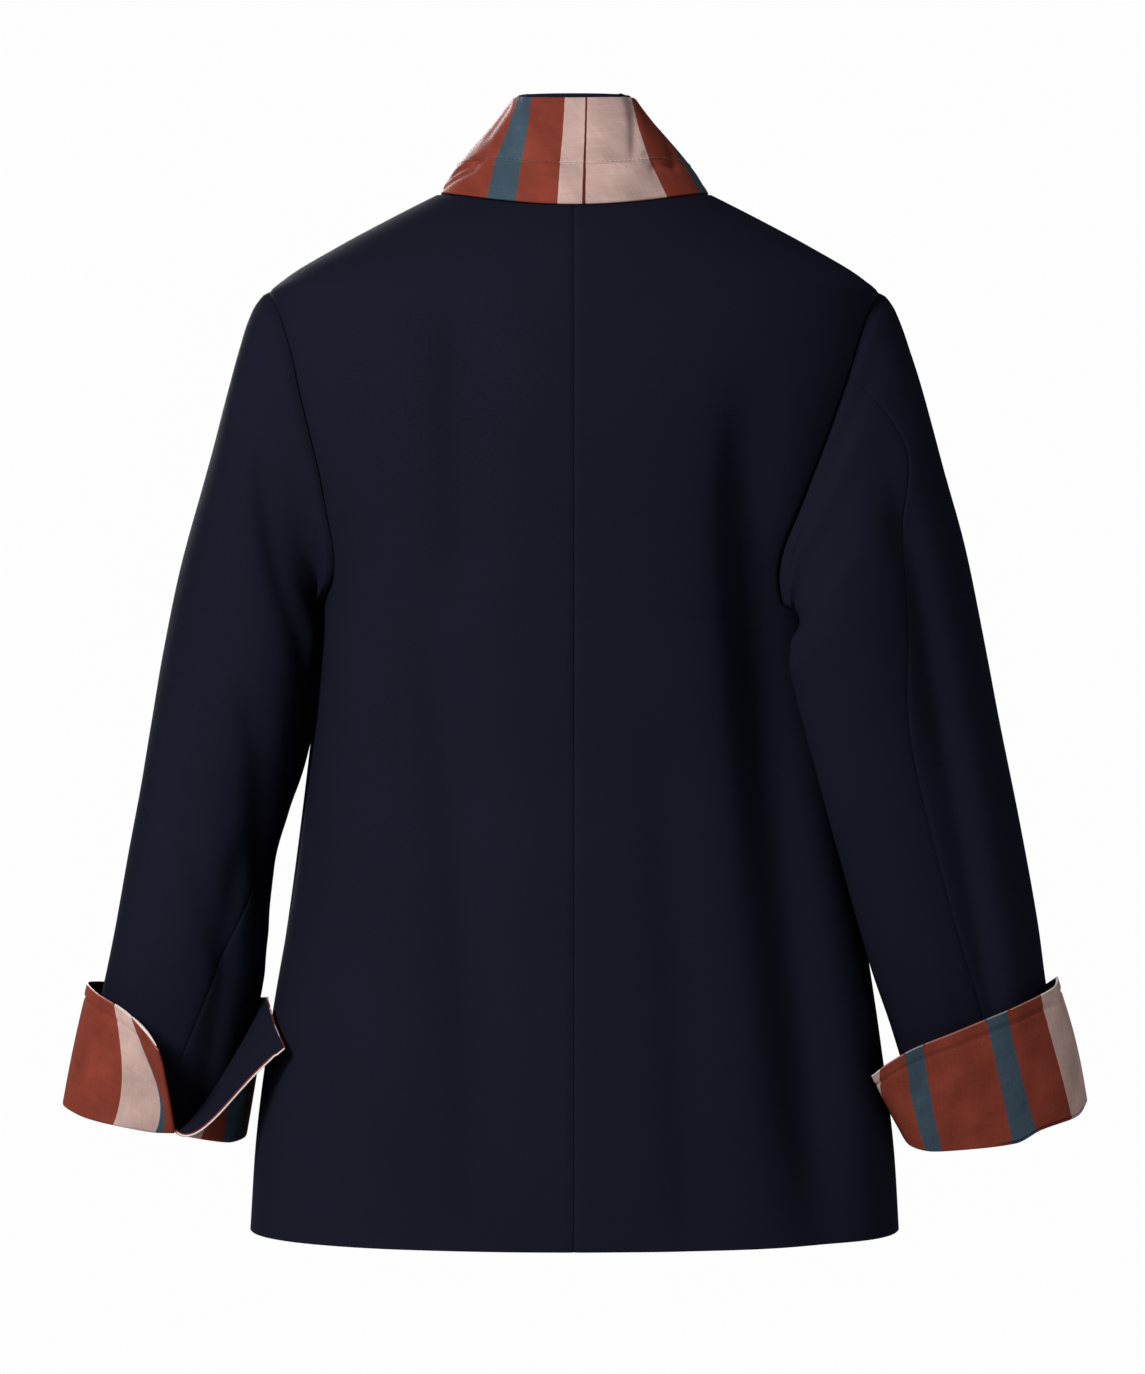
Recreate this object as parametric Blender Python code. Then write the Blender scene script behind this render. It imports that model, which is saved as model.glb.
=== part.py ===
"""A navy blazer that stands open as if worn, with nobody in it: collar turned up, cuffs turned back.

Metres, +Z up. The front faces -Y and the wearer's left is +X. The origin lies midway between the two
points where the shoulder seams meet the neck. Tables are in centimetres and degrees. A drop is a
distance below the origin.
"""

import math
from collections import namedtuple

import bmesh
import bpy
import numpy as np

CM = 0.01
LEFT, RIGHT = 1, -1

WALL = 0.0016            # suiting with its canvas
CUFF_WALL = 0.0022       # suiting and satin
COLLAR_WALL = 0.0014
SEAM_GAP = 0.0003
LENGTH = 71.2            # side neck to hem

# Body: horizontal sections, each a rounded rectangle between an ellipse and a box.
Level = namedtuple("Level", "drop half_width back front roundness")
BODY_LEVELS = (
    Level(0.0, 9.35, 7.4, 6.4, 2.00),
    Level(1.5, 12.3, 8.6, 7.3, 1.95),
    Level(3.7, 16.4, 9.9, 8.4, 1.92),
    Level(5.9, 20.0, 10.9, 9.4, 1.90),
    Level(6.9, 21.0, 11.2, 9.8, 1.92),
    Level(9.5, 20.9, 11.8, 10.7, 2.05),
    Level(12.5, 20.6, 12.3, 11.5, 2.18),
    Level(16.0, 19.9, 12.7, 12.4, 2.24),
    Level(21.0, 18.6, 12.9, 13.3, 2.25),
    Level(27.0, 17.4, 12.9, 13.6, 2.25),
    Level(33.0, 17.7, 12.7, 13.0, 2.25),
    Level(39.0, 18.35, 12.6, 12.6, 2.20),
    Level(48.6, 19.6, 12.9, 12.6, 2.20),
    Level(58.0, 21.0, 13.3, 13.0, 2.20),
    Level(66.0, 22.0, 13.6, 13.3, 2.20),
    Level(LENGTH, 22.35, 13.7, 13.4, 2.20),
)
NECK_DIP = 1.4           # the centre back neck lies this far below the side neck
NECK_DIP_REACH = 9.0

# Largest folds of the body, as soft troughs. Across is the distance from the centre line.
Fold = namedtuple("Fold", "face side top_across top_drop low_across low_drop depth width")
BACK, FRONT = 1, -1
BODY_FOLDS = (
    Fold(BACK, RIGHT, 10.6, 9.0, 16.6, 70.0, 1.0, 2.6),
    Fold(BACK, LEFT, 10.2, 12.0, 5.4, 69.0, 0.55, 3.6),
    Fold(FRONT, RIGHT, 11.0, 20.0, 13.5, 70.0, 0.6, 3.0),
    Fold(FRONT, LEFT, 10.0, 22.0, 15.5, 70.0, 0.8, 2.8),
)

# Armholes: a turn of 0 is the shoulder end, 90 the back, 180 the underarm and 270 the front.
Scye = namedtuple("Scye", "turn left_drop left_angle right_drop right_angle")
ARMHOLE = (
    Scye(0, 6.55, 0.0, 6.6, 0.0),
    Scye(30, 8.3, 14.5, 8.4, 16.0),
    Scye(60, 12.8, 24.0, 13.0, 26.5),
    Scye(90, 18.3, 26.0, 18.9, 32.8),
    Scye(120, 23.6, 23.5, 24.5, 36.0),
    Scye(150, 27.1, 16.0, 28.4, 34.0),
    Scye(180, 28.2, 0.0, 29.6, 0.0),
    Scye(210, 27.0, -17.0, 28.2, -17.0),
    Scye(240, 23.2, -26.0, 23.6, -26.0),
    Scye(270, 17.8, -29.0, 18.0, -29.0),
    Scye(300, 12.6, -24.5, 12.7, -24.5),
    Scye(330, 8.3, -14.0, 8.4, -14.0),
    Scye(360, 6.55, 0.0, 6.6, 0.0),
)

# Front edge: the roll line from the side neck to the button, then straight down, 2 cm past the centre.
FrontEdge = namedtuple("FrontEdge", "drop across")
FRONT_EDGE = (
    FrontEdge(0.0, 9.2),
    FrontEdge(2.0, 8.6),
    FrontEdge(5.0, 7.5),
    FrontEdge(10.0, 6.1),
    FrontEdge(18.0, 3.9),
    FrontEdge(26.0, 1.4),
    FrontEdge(33.5, -1.7),
    FrontEdge(36.0, -2.0),
    FrontEdge(LENGTH, -2.0),
)
OVERLAP_LIFT = 0.0028    # the right front lies over the left one
OVERLAP_REACH = 7.5
OVERLAP_FADE = 4.0

# Lapels lie on the fronts. Along runs from the gorge to the lower end of the roll line.
Lapel = namedtuple("Lapel", "along roll_drop edge_across edge_drop")
LAPEL = (
    Lapel(0.0, 5.2, 14.0, 8.4),
    Lapel(0.12, 8.4, 13.9, 11.4),
    Lapel(0.4, 15.5, 11.2, 18.0),
    Lapel(0.7, 22.5, 6.6, 24.2),
    Lapel(0.85, 27.2, 2.6, 28.2),
    Lapel(1.0, 32.6, -1.25, 32.9),
)
LEFT_LAPEL_REACH = 0.85  # the left one is shorter, because the right front covers the rest
LAPEL_LIFT = 0.0011
LAPEL_ROLL = 0.0035

# Sleeves: each row gives the outer and inner ends of one slanting section, and its half depth.
Arm = namedtuple(
    "Arm", "run outer_x outer_y outer_drop inner_x inner_y inner_drop half_depth"
)
LEFT_SLEEVE = (
    Arm(0.0, 20.75, 0.0, 6.55, 17.35, 0.0, 28.2, 5.8),
    Arm(2.0, 22.0, 0.0, 8.0, 17.45, -0.7, 28.6, 6.0),
    Arm(5.0, 23.0, 0.0, 10.8, 17.3, -2.0, 29.0, 6.3),
    Arm(9.0, 24.1, 0.1, 14.6, 17.05, -3.4, 29.5, 6.9),
    Arm(14.0, 25.3, 0.2, 19.5, 16.9, -4.2, 30.2, 7.5),
    Arm(20.0, 26.7, 0.3, 25.4, 16.9, -4.2, 31.4, 7.6),
    Arm(26.0, 28.0, 0.3, 31.6, 17.5, -3.8, 34.6, 7.4),
    Arm(32.0, 29.15, 0.1, 37.2, 18.45, -2.8, 38.8, 6.6),
    Arm(36.0, 29.9, -0.1, 41.2, 19.75, -1.9, 42.6, 5.8),
    Arm(40.0, 30.7, -0.3, 45.2, 20.65, -1.1, 46.2, 5.6),
    Arm(45.0, 31.65, -0.5, 50.2, 21.0, -0.6, 50.9, 5.3),
    Arm(50.0, 32.65, -0.6, 55.0, 21.8, -0.5, 56.0, 4.7),
    Arm(58.5, 34.3, -0.8, 62.5, 23.7, -0.8, 64.2, 4.2),
)
RIGHT_SLEEVE = (
    Arm(0.0, 20.8, 0.0, 6.6, 17.2, 0.0, 29.6, 5.9),
    Arm(2.0, 22.0, 0.0, 8.0, 16.9, 1.4, 29.8, 5.9),
    Arm(5.0, 23.0, 0.1, 10.8, 16.0, 4.6, 30.1, 5.8),
    Arm(9.0, 24.1, 0.2, 14.6, 14.9, 7.0, 30.4, 5.4),
    Arm(14.0, 25.2, 0.3, 19.5, 14.4, 8.4, 31.0, 5.0),
    Arm(20.0, 26.65, 0.4, 25.2, 14.4, 8.9, 32.3, 4.6),
    Arm(26.0, 27.95, 0.4, 31.4, 14.9, 8.5, 34.6, 4.4),
    Arm(32.0, 29.05, 0.4, 37.0, 16.1, 7.7, 38.8, 4.3),
    Arm(38.0, 30.3, 0.3, 43.0, 17.7, 6.5, 44.6, 4.3),
    Arm(45.0, 31.7, 0.0, 50.2, 19.9, 4.7, 51.8, 4.3),
    Arm(50.0, 32.5, -0.3, 55.0, 21.8, 3.3, 57.0, 4.0),
    Arm(58.5, 34.4, -1.0, 62.2, 23.8, 0.8, 63.6, 3.9),
)
SLEEVE_END = 58.5
CAP_BLEND = (13.0, 8.0, 8.0)  # by axis: over this run the armhole's shape fades into the sections
PUSH_BLEND = 1.2
BODY_CLEARANCE = 0.0035

# Sleeve seams, as turns about the sleeve. Front seams stay at FRONT_SEAM_TURN.
BackSeam = namedtuple("BackSeam", "run left right")
BACK_SEAM = (
    BackSeam(0.0, 165.0, 60.0),
    BackSeam(9.0, 168.9, 61.0),
    BackSeam(14.0, 170.9, 77.0),
    BackSeam(20.0, 172.0, 90.0),
    BackSeam(33.0, 168.5, 107.0),
    BackSeam(42.0, 138.0, 104.0),
    BackSeam(46.0, 123.9, 101.0),
    BackSeam(50.0, 112.0, 97.0),
    BackSeam(SLEEVE_END, 96.0, 93.0),
)
FRONT_SEAM_TURN = 240.0

SleeveFold = namedtuple("SleeveFold", "side from_turn from_run to_turn to_run depth width")
SLEEVE_FOLDS = (
    SleeveFold(LEFT, 62.0, 6.0, 128.0, 30.0, 0.45, 17.0),
    SleeveFold(LEFT, 70.0, 27.0, 150.0, 41.0, 0.45, 15.0),
    SleeveFold(LEFT, 250.0, 30.0, 200.0, 44.0, 0.5, 18.0),
    SleeveFold(RIGHT, 78.0, 8.0, 88.0, 46.0, 0.5, 16.0),
    SleeveFold(RIGHT, 290.0, 14.0, 262.0, 44.0, 0.5, 18.0),
)

# Collar: its foot follows the neckline, and its top edge has a table. Around is 0 at the centre back.
SIDE_NECK_AROUND = 0.62
GORGE_DROP = 5.0
COLLAR_FOOT_RISE = 0.0012
COLLAR_FOOT_INSET = 0.0010
COLLAR_CREASE = 0.36     # the stitched line between the stand and the fall, as a share of the height
CollarTop = namedtuple("CollarTop", "around across back rise")
COLLAR_TOP = (
    CollarTop(0.0, 0.0, 5.4, 6.0),
    CollarTop(0.05, 0.76, 5.38, 6.01),
    CollarTop(0.18, 3.05, 4.35, 6.17),
    CollarTop(0.28, 4.1, 2.3, 6.4),
    CollarTop(0.45, 4.7, -0.9, 5.95),
    CollarTop(0.62, 5.2, -3.9, 5.05),
    CollarTop(0.8, 5.7, -6.8, 3.5),
    CollarTop(1.0, 6.3, -9.4, 1.6),
)
COLLAR_BULGE = 0.0045
UPPER_COLLAR_EDGE = 0.0038

# Cuffs: ribs that run from the fold at the sleeve's end up to the cuff's free edge.
Rib = namedtuple("Rib", "turn low_x low_y low_drop top_x top_y top_drop")
RIGHT_CUFF = (
    Rib(0, 35.6, -1.2, 62.8, 33.4, -0.8, 54.0),
    Rib(30, 34.7, 1.6, 63.5, 32.9, 2.7, 54.4),
    Rib(60, 31.9, 3.9, 64.3, 30.2, 5.5, 55.55),
    Rib(75, 30.1, 4.5, 65.2, 28.2, 6.5, 56.3),
    Rib(100, 27.3, 5.1, 65.5, 25.6, 7.3, 57.3),
    Rib(130, 24.4, 4.7, 65.7, 22.7, 7.6, 58.45),
    Rib(155, 22.9, 3.3, 65.35, 20.9, 7.2, 59.6),
    Rib(180, 22.4, 1.3, 64.45, 20.2, 6.0, 60.3),
    Rib(215, 23.1, -2.0, 64.6, 21.8, 1.6, 60.0),
    Rib(250, 25.9, -4.9, 64.6, 24.5, -3.4, 58.6),
    Rib(290, 30.7, -5.7, 63.9, 29.1, -5.3, 57.2),
    Rib(325, 34.3, -4.1, 63.3, 32.3, -4.2, 55.3),
    Rib(360, 35.6, -1.2, 62.8, 33.4, -0.8, 54.0),
)
# The left cuff is open at the back. Its ribs start at the slit's outer edge, go round the front
# and end at the slit's other edge, which is folded out as a wing. Turn only counts them there.
LEFT_CUFF = (
    Rib(0, 27.5, 4.25, 64.4, 27.9, 9.0, 58.3),
    Rib(8, 28.3, 4.3, 64.4, 28.9, 7.4, 57.2),
    Rib(22, 30.5, 4.0, 64.1, 30.6, 5.2, 55.9),
    Rib(44, 33.6, 2.6, 63.5, 32.6, 2.9, 54.9),
    Rib(68, 35.4, -0.8, 62.9, 33.6, -0.8, 54.4),
    Rib(100, 33.7, -4.4, 63.2, 31.9, -4.8, 54.7),
    Rib(135, 28.9, -6.1, 64.0, 27.2, -6.4, 55.4),
    Rib(170, 24.3, -4.6, 64.7, 22.7, -4.6, 55.7),
    Rib(195, 22.7, -1.2, 65.2, 21.25, -1.6, 55.5),
    Rib(215, 23.4, 2.1, 65.3, 21.15, 0.4, 55.4),
    Rib(232, 25.0, 3.7, 65.0, 21.1, 1.3, 55.4),
    Rib(245, 26.6, 4.3, 64.6, 21.0, 2.0, 55.5),
    Rib(252, 26.95, 4.6, 64.4, 20.8, 3.0, 55.9),
    Rib(266, 27.0, 4.75, 64.35, 20.3, 5.0, 57.0),
    Rib(280, 27.05, 4.9, 64.3, 19.5, 7.2, 58.3),
)
WING_BOW = 0.105         # the wing's ribs sag between these turns
WING_START, WING_FULL = 232.0, 272.0
CUFF_SEAM_GAP = 0.0004   # between the sleeve's end and the cuff's bottom
CUFF_BOTTOM_SAG = 0.0012

BUTTON_DROP = 36.4
BUTTON_RADIUS = 0.0115
BUTTON_THICKNESS = 0.0038
BUTTON_RIM = 0.0022
BUTTON_DISH = 0.0010
BUTTON_HOLE_RADIUS = 0.0011
BUTTON_HOLE_SPREAD = 0.0024
BUTTON_SIDES = 24

# A fold fades in and out over this share of its length, from just before its start to past its end.
FOLD_FADE = 0.3
BODY_FOLD_END = 1.12
SLEEVE_FOLD_START, SLEEVE_FOLD_END = -0.09, 1.3
COLLAR_BULGE_FADE, COLLAR_BULGE_END = 0.3, 1.1

# Mesh steps.
PANEL_COLUMNS = 8
SHOULDER_ROWS = 5
SCYE_ROWS = 12
SIDE_ROWS = 11
SLEEVE_ROWS = 22
SLEEVE_ROW_SPREAD = 1.25  # above 1 the rows lie closer at the cap
COLLAR_BACK_STEPS = 8
COLLAR_FRONT_STEPS = 4
COLLAR_STAND_ROWS = 2
COLLAR_FALL_ROWS = 4
LAPEL_COLUMNS = 5
LAPEL_ROWS = 12
CUFF_ROWS = 6
CUFF_STEPS = 30

NAVY = (0.012, 0.012, 0.022)
SATIN = (0.224, 0.048, 0.032)
HORN = (0.02, 0.017, 0.02)


def smooth(table, key, name, at):
    """A named column anywhere along the key column: a cubic through the rows that never overshoots."""
    x = np.array([getattr(row, key) for row in table], float)
    y = np.array([getattr(row, name) for row in table], float)
    step = np.diff(x)
    slope = np.diff(y) / step
    product = slope[:-1] * slope[1:]
    total = np.where(product > 0, slope[:-1] + slope[1:], 1.0)
    middle = np.where(product > 0, 2 * product / total, 0.0)
    tangent = np.concatenate([slope[:1], middle, slope[-1:]])
    at = np.clip(np.asarray(at, float), x[0], x[-1])
    k = np.clip(np.searchsorted(x, at, side="right") - 1, 0, len(x) - 2)
    t = (at - x[k]) / step[k]
    return (
        y[k] * (1 + 2 * t) * (1 - t) ** 2
        + y[k + 1] * t * t * (3 - 2 * t)
        + step[k] * (tangent[k] * t * (1 - t) ** 2 - tangent[k + 1] * t * t * (1 - t))
    )


def ease(t):
    """0 to 1 with level ends."""
    t = np.clip(t, 0.0, 1.0)
    return t * t * (3 - 2 * t)


def unit(v):
    return v / np.maximum(np.linalg.norm(v, axis=-1, keepdims=True), 1e-12)


def signed_power(value, power):
    return np.sign(value) * np.abs(value) ** power


def body_size(drop):
    """Half width, back depth, front depth and roundness of the section at a drop, the sizes in metres."""
    return (
        smooth(BODY_LEVELS, "drop", "half_width", drop) * CM,
        smooth(BODY_LEVELS, "drop", "back", drop) * CM,
        smooth(BODY_LEVELS, "drop", "front", drop) * CM,
        smooth(BODY_LEVELS, "drop", "roundness", drop),
    )


def body_fold_depth(across, drop, back, side):
    """How far the body's folds press in: for each fold a bell across its line, faded at both ends."""
    depth = np.zeros(np.broadcast(across, drop).shape)
    for fold in BODY_FOLDS:
        if fold.side != side:
            continue
        t = (drop - fold.top_drop) / (fold.low_drop - fold.top_drop)
        line = fold.top_across + (fold.low_across - fold.top_across) * t
        bell = np.exp(-(((across - line) / fold.width) ** 2))
        faded = ease(t / FOLD_FADE) * ease((BODY_FOLD_END - t) / FOLD_FADE)
        depth += np.where(back == (fold.face == BACK), bell * faded * fold.depth, 0.0)
    return depth * CM


def body_point(angle, drop, side, lift=0.0):
    """The body's outer face. Angle is 0 at the side, 90 at the centre back and -90 at the centre front."""
    angle, drop = np.broadcast_arrays(np.asarray(angle, float), np.asarray(drop, float))
    width, back_depth, front_depth, roundness = body_size(drop)
    cosine, sine = np.cos(np.radians(angle)), np.sin(np.radians(angle))
    power = 2 / roundness
    back = sine >= 0
    x = width * signed_power(cosine, power)
    y = np.where(back, back_depth, front_depth) * signed_power(sine, power)
    depth = np.where(back, back_depth, front_depth)
    slant = np.stack(
        [
            signed_power(x / width, roundness - 1) / width,
            signed_power(y / depth, roundness - 1) / depth,
        ],
        axis=-1,
    )
    slant = unit(slant)
    press = lift - body_fold_depth(x / CM, drop, back, side)
    x = x + slant[..., 0] * press
    y = y + slant[..., 1] * press
    dip = NECK_DIP * np.clip(sine, 0, 1) ** 2 * np.clip(1 - drop / NECK_DIP_REACH, 0, 1) ** 2
    return np.stack([side * x, y, -(drop + dip) * CM], axis=-1)


def front_angle(across, drop):
    """The angle on the front at which the section at a drop lies this far from the centre line."""
    width, _, _, roundness = body_size(drop)
    share = np.clip(np.asarray(across, float) * CM / width, -1, 1)
    return -np.degrees(np.arccos(signed_power(share, roundness / 2)))


def overlap_lift(across, side):
    """How far the right front is raised where it lies over the left one."""
    if side == LEFT:
        return 0.0
    return OVERLAP_LIFT * ease((OVERLAP_REACH - across) / OVERLAP_FADE)


def front_point(across, drop, side, lift=0.0):
    """The front's outer face at a distance from the centre line, raised by lift."""
    return body_point(front_angle(across, drop), drop, side, lift + overlap_lift(across, side))


def scye(turn, side):
    """Angle and drop of the armhole seam at a turn."""
    which = "left" if side == LEFT else "right"
    turn = np.mod(turn, 360)
    return (
        smooth(ARMHOLE, "turn", which + "_angle", turn),
        smooth(ARMHOLE, "turn", which + "_drop", turn),
    )


def clear_of_body(points, weight):
    """Points that would lie in the body, moved out from its axis until they clear it by BODY_CLEARANCE."""
    width, back_depth, front_depth, roundness = body_size(-points[..., 2] / CM)
    depth = np.where(points[..., 1] >= 0, back_depth, front_depth)
    x, y = np.abs(points[..., 0]), np.abs(points[..., 1])
    level = ((x / width) ** roundness + (y / depth) ** roundness) ** (1 / roundness)
    wanted = (1 + BODY_CLEARANCE / np.hypot(x, y)) / level
    softness = 0.012
    scale = (1 + wanted + np.sqrt((wanted - 1) ** 2 + softness**2)) / 2
    moved = points.copy()
    moved[..., :2] *= (1 + (scale - 1) * weight)[..., None]
    return moved


def sleeve_table(side):
    return LEFT_SLEEVE if side == LEFT else RIGHT_SLEEVE


def sleeve_axes(run, side):
    """Centre, half axis towards the outer end, and half axis across it, of the section at a run."""
    table = sleeve_table(side)
    read = {name: smooth(table, "run", name, run) for name in Arm._fields[1:]}
    outer = np.stack([read["outer_x"], read["outer_y"], -read["outer_drop"]], axis=-1) * CM
    inner = np.stack([read["inner_x"], read["inner_y"], -read["inner_drop"]], axis=-1) * CM
    centre, half = (outer + inner) / 2, (outer - inner) / 2
    along = unit(half)
    across = unit(np.array([0.0, 1.0, 0.0]) - along[..., 1:2] * along)
    return centre, half, across * (read["half_depth"] * CM)[..., None]


def section(turn, run, side):
    """The plain oval section, before the armhole, the body and the folds shape it."""
    centre, half, across = sleeve_axes(run, side)
    turned = np.radians(turn)[..., None]
    return centre + half * np.cos(turned) + across * np.sin(turned)


def sleeve_fold_depth(turn, run, side):
    depth = np.zeros(np.broadcast(turn, run).shape)
    for fold in SLEEVE_FOLDS:
        if fold.side != side:
            continue
        t = (run - fold.from_run) / (fold.to_run - fold.from_run)
        line = fold.from_turn + (fold.to_turn - fold.from_turn) * t
        away = np.mod(turn - line + 180, 360) - 180
        faded = ease((t - SLEEVE_FOLD_START) / FOLD_FADE) * ease((SLEEVE_FOLD_END - t) / FOLD_FADE)
        depth += np.exp(-((away / fold.width) ** 2)) * faded * fold.depth
    return depth * CM


def sleeve_point(turn, run, side):
    """The sleeve's outer face: oval sections that start as the armhole, kept clear of the body."""
    turn, run = np.broadcast_arrays(np.asarray(turn, float), np.asarray(run, float))
    plain = section(turn, run, side)
    start = section(turn, np.zeros_like(run), side)
    seam = body_point(*scye(turn, side), side)
    seam[..., 0] *= side
    fade = 1 - ease(run[..., None] / CAP_BLEND)
    points = plain + (seam - start) * fade
    points = clear_of_body(points, ease(run / PUSH_BLEND))
    centre, _, _ = sleeve_axes(run, side)
    inwards = unit(centre - points)
    points = points + inwards * sleeve_fold_depth(turn, run, side)[..., None]
    points[..., 0] *= side
    return points


def normals_of(surface, u, v, outwards):
    """Unit normals of a surface function at grid points, on the side that outwards points to."""
    du, dv = 0.05, 0.02
    across = surface(u + du, v) - surface(u - du, v)
    along = surface(u, v + dv) - surface(u, v - dv)
    normal = unit(np.cross(across, along))
    facing = np.sign((normal * outwards).sum(-1))
    return normal * np.where(facing == 0, 1, facing)[..., None]


def body_normals(angle, drop, side):
    def face(u, v):
        return body_point(u, np.clip(v, 0.0, LENGTH), side)

    outwards = face(angle, drop) * [1, 1, 0] + [0, 0, 0.04]
    return normals_of(face, angle, drop, outwards)


def sleeve_normals(turn, run, side):
    def face(u, v):
        return sleeve_point(u, v, side)

    centre, _, _ = sleeve_axes(run, side)
    return normals_of(face, turn, run, face(turn, run) - centre * [side, 1, 1])


def scye_frame(turn, side):
    """Normals halfway between the body's and the sleeve's, so that both walls end on one plane, and
    the way from the body to the sleeve across the seam."""
    angle, drop = scye(turn, side)
    first = body_normals(angle, drop, side)
    second = sleeve_normals(turn, np.full_like(turn, 0.4), side)
    normal = unit(first + second)
    ahead = body_point(*scye(turn + 0.5, side), side) - body_point(*scye(turn - 0.5, side), side)
    apart = unit(np.cross(ahead, normal))
    sleeve_way = sleeve_point(turn, np.full_like(turn, 1.0), side) - body_point(angle, drop, side)
    return normal, apart * np.sign((apart * sleeve_way).sum())


def grid_normals(grid, outwards):
    """Unit normals of a grid of points, all turned to the side that most of outwards points to."""
    normal = unit(np.cross(np.gradient(grid, axis=0), np.gradient(grid, axis=1)))
    return normal * (1 if ((normal * outwards).sum(-1) > 0).mean() > 0.5 else -1)


def trimmed(grid, normals, first_row=True, last_row=True, first_column=True, last_column=True):
    """The grid with the named borders drawn in by half a seam gap, square to the seam and its normal."""
    moved = grid.copy()
    for wanted, edge, inner in (
        (first_row, np.s_[0], np.s_[1]),
        (last_row, np.s_[-1], np.s_[-2]),
        (first_column, np.s_[:, 0], np.s_[:, 1]),
        (last_column, np.s_[:, -1], np.s_[:, -2]),
    ):
        if wanted:
            back = unit(np.cross(np.gradient(grid[edge], axis=0), normals[edge]))
            back = back * np.sign((back * (grid[inner] - grid[edge])).sum())
            moved[edge] += back * SEAM_GAP / 2
    return moved


def wall_faces(rows, columns, around):
    """Triangles of a wall: the outer face, the inner face and the edges that join them."""
    number = np.arange(rows * columns).reshape(rows, columns)
    if around:
        number = np.concatenate([number, number[:, :1]], axis=1)
    inner = number + rows * columns

    def triangles(a):
        first = np.stack([a[:-1, :-1], a[:-1, 1:], a[1:, 1:]], axis=-1)
        second = np.stack([a[:-1, :-1], a[1:, 1:], a[1:, :-1]], axis=-1)
        return np.concatenate([first.reshape(-1, 3), second.reshape(-1, 3)])

    parts = [triangles(number), triangles(inner)[:, ::-1]]
    rows_rim = (number[0], inner[0]), (inner[-1], number[-1])
    columns_rim = (inner[:, 0], number[:, 0]), (number[:, -1], inner[:, -1])
    for rim in rows_rim if around else rows_rim + columns_rim:
        parts.append(triangles(np.stack(rim, axis=1)))
    return np.concatenate(parts)


def material(name, colour, roughness):
    made = bpy.data.materials.get(name) or bpy.data.materials.new(name)
    made.use_nodes = True
    shader = made.node_tree.nodes["Principled BSDF"]
    shader.inputs["Base Color"].default_value = (*colour, 1)
    shader.inputs["Roughness"].default_value = roughness
    shader.inputs["Metallic"].default_value = 0.0
    return made


def finish(name, colour, roughness, points, faces):
    """One closed, smooth-shaded object whose faces point outwards."""
    mesh = bpy.data.meshes.new(name)
    mesh.from_pydata(points.reshape(-1, 3).tolist(), [], faces.tolist())
    shape = bmesh.new()
    shape.from_mesh(mesh)
    bmesh.ops.recalc_face_normals(shape, faces=shape.faces)
    shape.to_mesh(mesh)
    shape.free()
    mesh.shade_smooth()
    mesh.set_sharp_from_angle(angle=math.radians(50))
    mesh.materials.append(material(name + "_cloth", colour, roughness))
    thing = bpy.data.objects.new(name, mesh)
    bpy.context.scene.collection.objects.link(thing)
    return thing


def wall(name, colour, outer, normals, thickness=WALL, around=False, roughness=0.8):
    rows, columns = outer.shape[:2]
    points = np.concatenate([outer.reshape(-1, 3), (outer - normals * thickness).reshape(-1, 3)])
    return finish(name, colour, roughness, points, wall_faces(rows, columns, around))


def panel_rows(side, face):
    """Angle and drop down the outer border of a panel: shoulder seam, armhole, then side seam."""
    top_angle, top_drop = scye(np.array([0.0]), side)
    low_angle, low_drop = scye(np.array([180.0]), side)
    shoulder = np.linspace(0, top_drop[0], SHOULDER_ROWS + 1)[:-1]
    turns = np.linspace(0, 180, SCYE_ROWS + 1)
    turns = turns if face == BACK else 360 - turns
    scye_angle, scye_drop = scye(turns, side)
    down = np.linspace(low_drop[0], LENGTH, SIDE_ROWS + 1)[1:]
    shoulder_angle = np.full(len(shoulder), top_angle[0])
    down_angle = np.full(len(down), low_angle[0])
    angle = np.concatenate([shoulder_angle, scye_angle, down_angle])
    return angle, np.concatenate([shoulder, scye_drop, down]), turns


def body_panel(name, side, face):
    """A back runs to the centre back seam and a front to its own edge. Rows are level sections."""
    border_angle, drop, turns = panel_rows(side, face)
    share = np.linspace(0, 1, PANEL_COLUMNS + 1)[None, :]
    if face == BACK:
        end_angle = np.full_like(drop, 90.0)
    else:
        end_angle = front_angle(smooth(FRONT_EDGE, "drop", "across", drop), drop)
    angle = border_angle[:, None] + (end_angle - border_angle)[:, None] * share
    drop = np.repeat(drop[:, None], PANEL_COLUMNS + 1, axis=1)
    normals = body_normals(angle, drop, side)
    on_scye = np.s_[SHOULDER_ROWS : SHOULDER_ROWS + SCYE_ROWS + 1]
    normals[on_scye, 0], apart = scye_frame(turns, side)
    lift = 0.0
    if face == FRONT:
        across = side * body_point(angle, drop, side)[..., 0] / CM
        lift = overlap_lift(across, side)
    outer = body_point(angle, drop, side, lift)
    whole = outer
    outer = trimmed(outer, normals, last_row=False, last_column=face == BACK)
    inside_scye = np.s_[SHOULDER_ROWS + 1 : SHOULDER_ROWS + SCYE_ROWS, 0]
    outer[inside_scye] = whole[inside_scye]
    outer[on_scye, 0] -= apart * SEAM_GAP / 2
    return wall(name, NAVY, outer, normals)


def sleeve_turns(run, side):
    """The turns of the mesh lines: even at the armhole, then drawn along with the back seam."""
    which = "left" if side == LEFT else "right"
    even = np.arange(0, 361, 180 / SCYE_ROWS)
    seam_now = smooth(BACK_SEAM, "run", which, run)
    seam_start = smooth(BACK_SEAM, "run", which, 0.0)
    fixed = [0, float(seam_start), FRONT_SEAM_TURN, 360]
    stack = [np.interp(even, fixed, [0, now, FRONT_SEAM_TURN, 360]) for now in seam_now]
    step = int(round(float(seam_start) * SCYE_ROWS / 180))
    return np.array(stack), step, int(round(FRONT_SEAM_TURN * SCYE_ROWS / 180))


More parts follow.
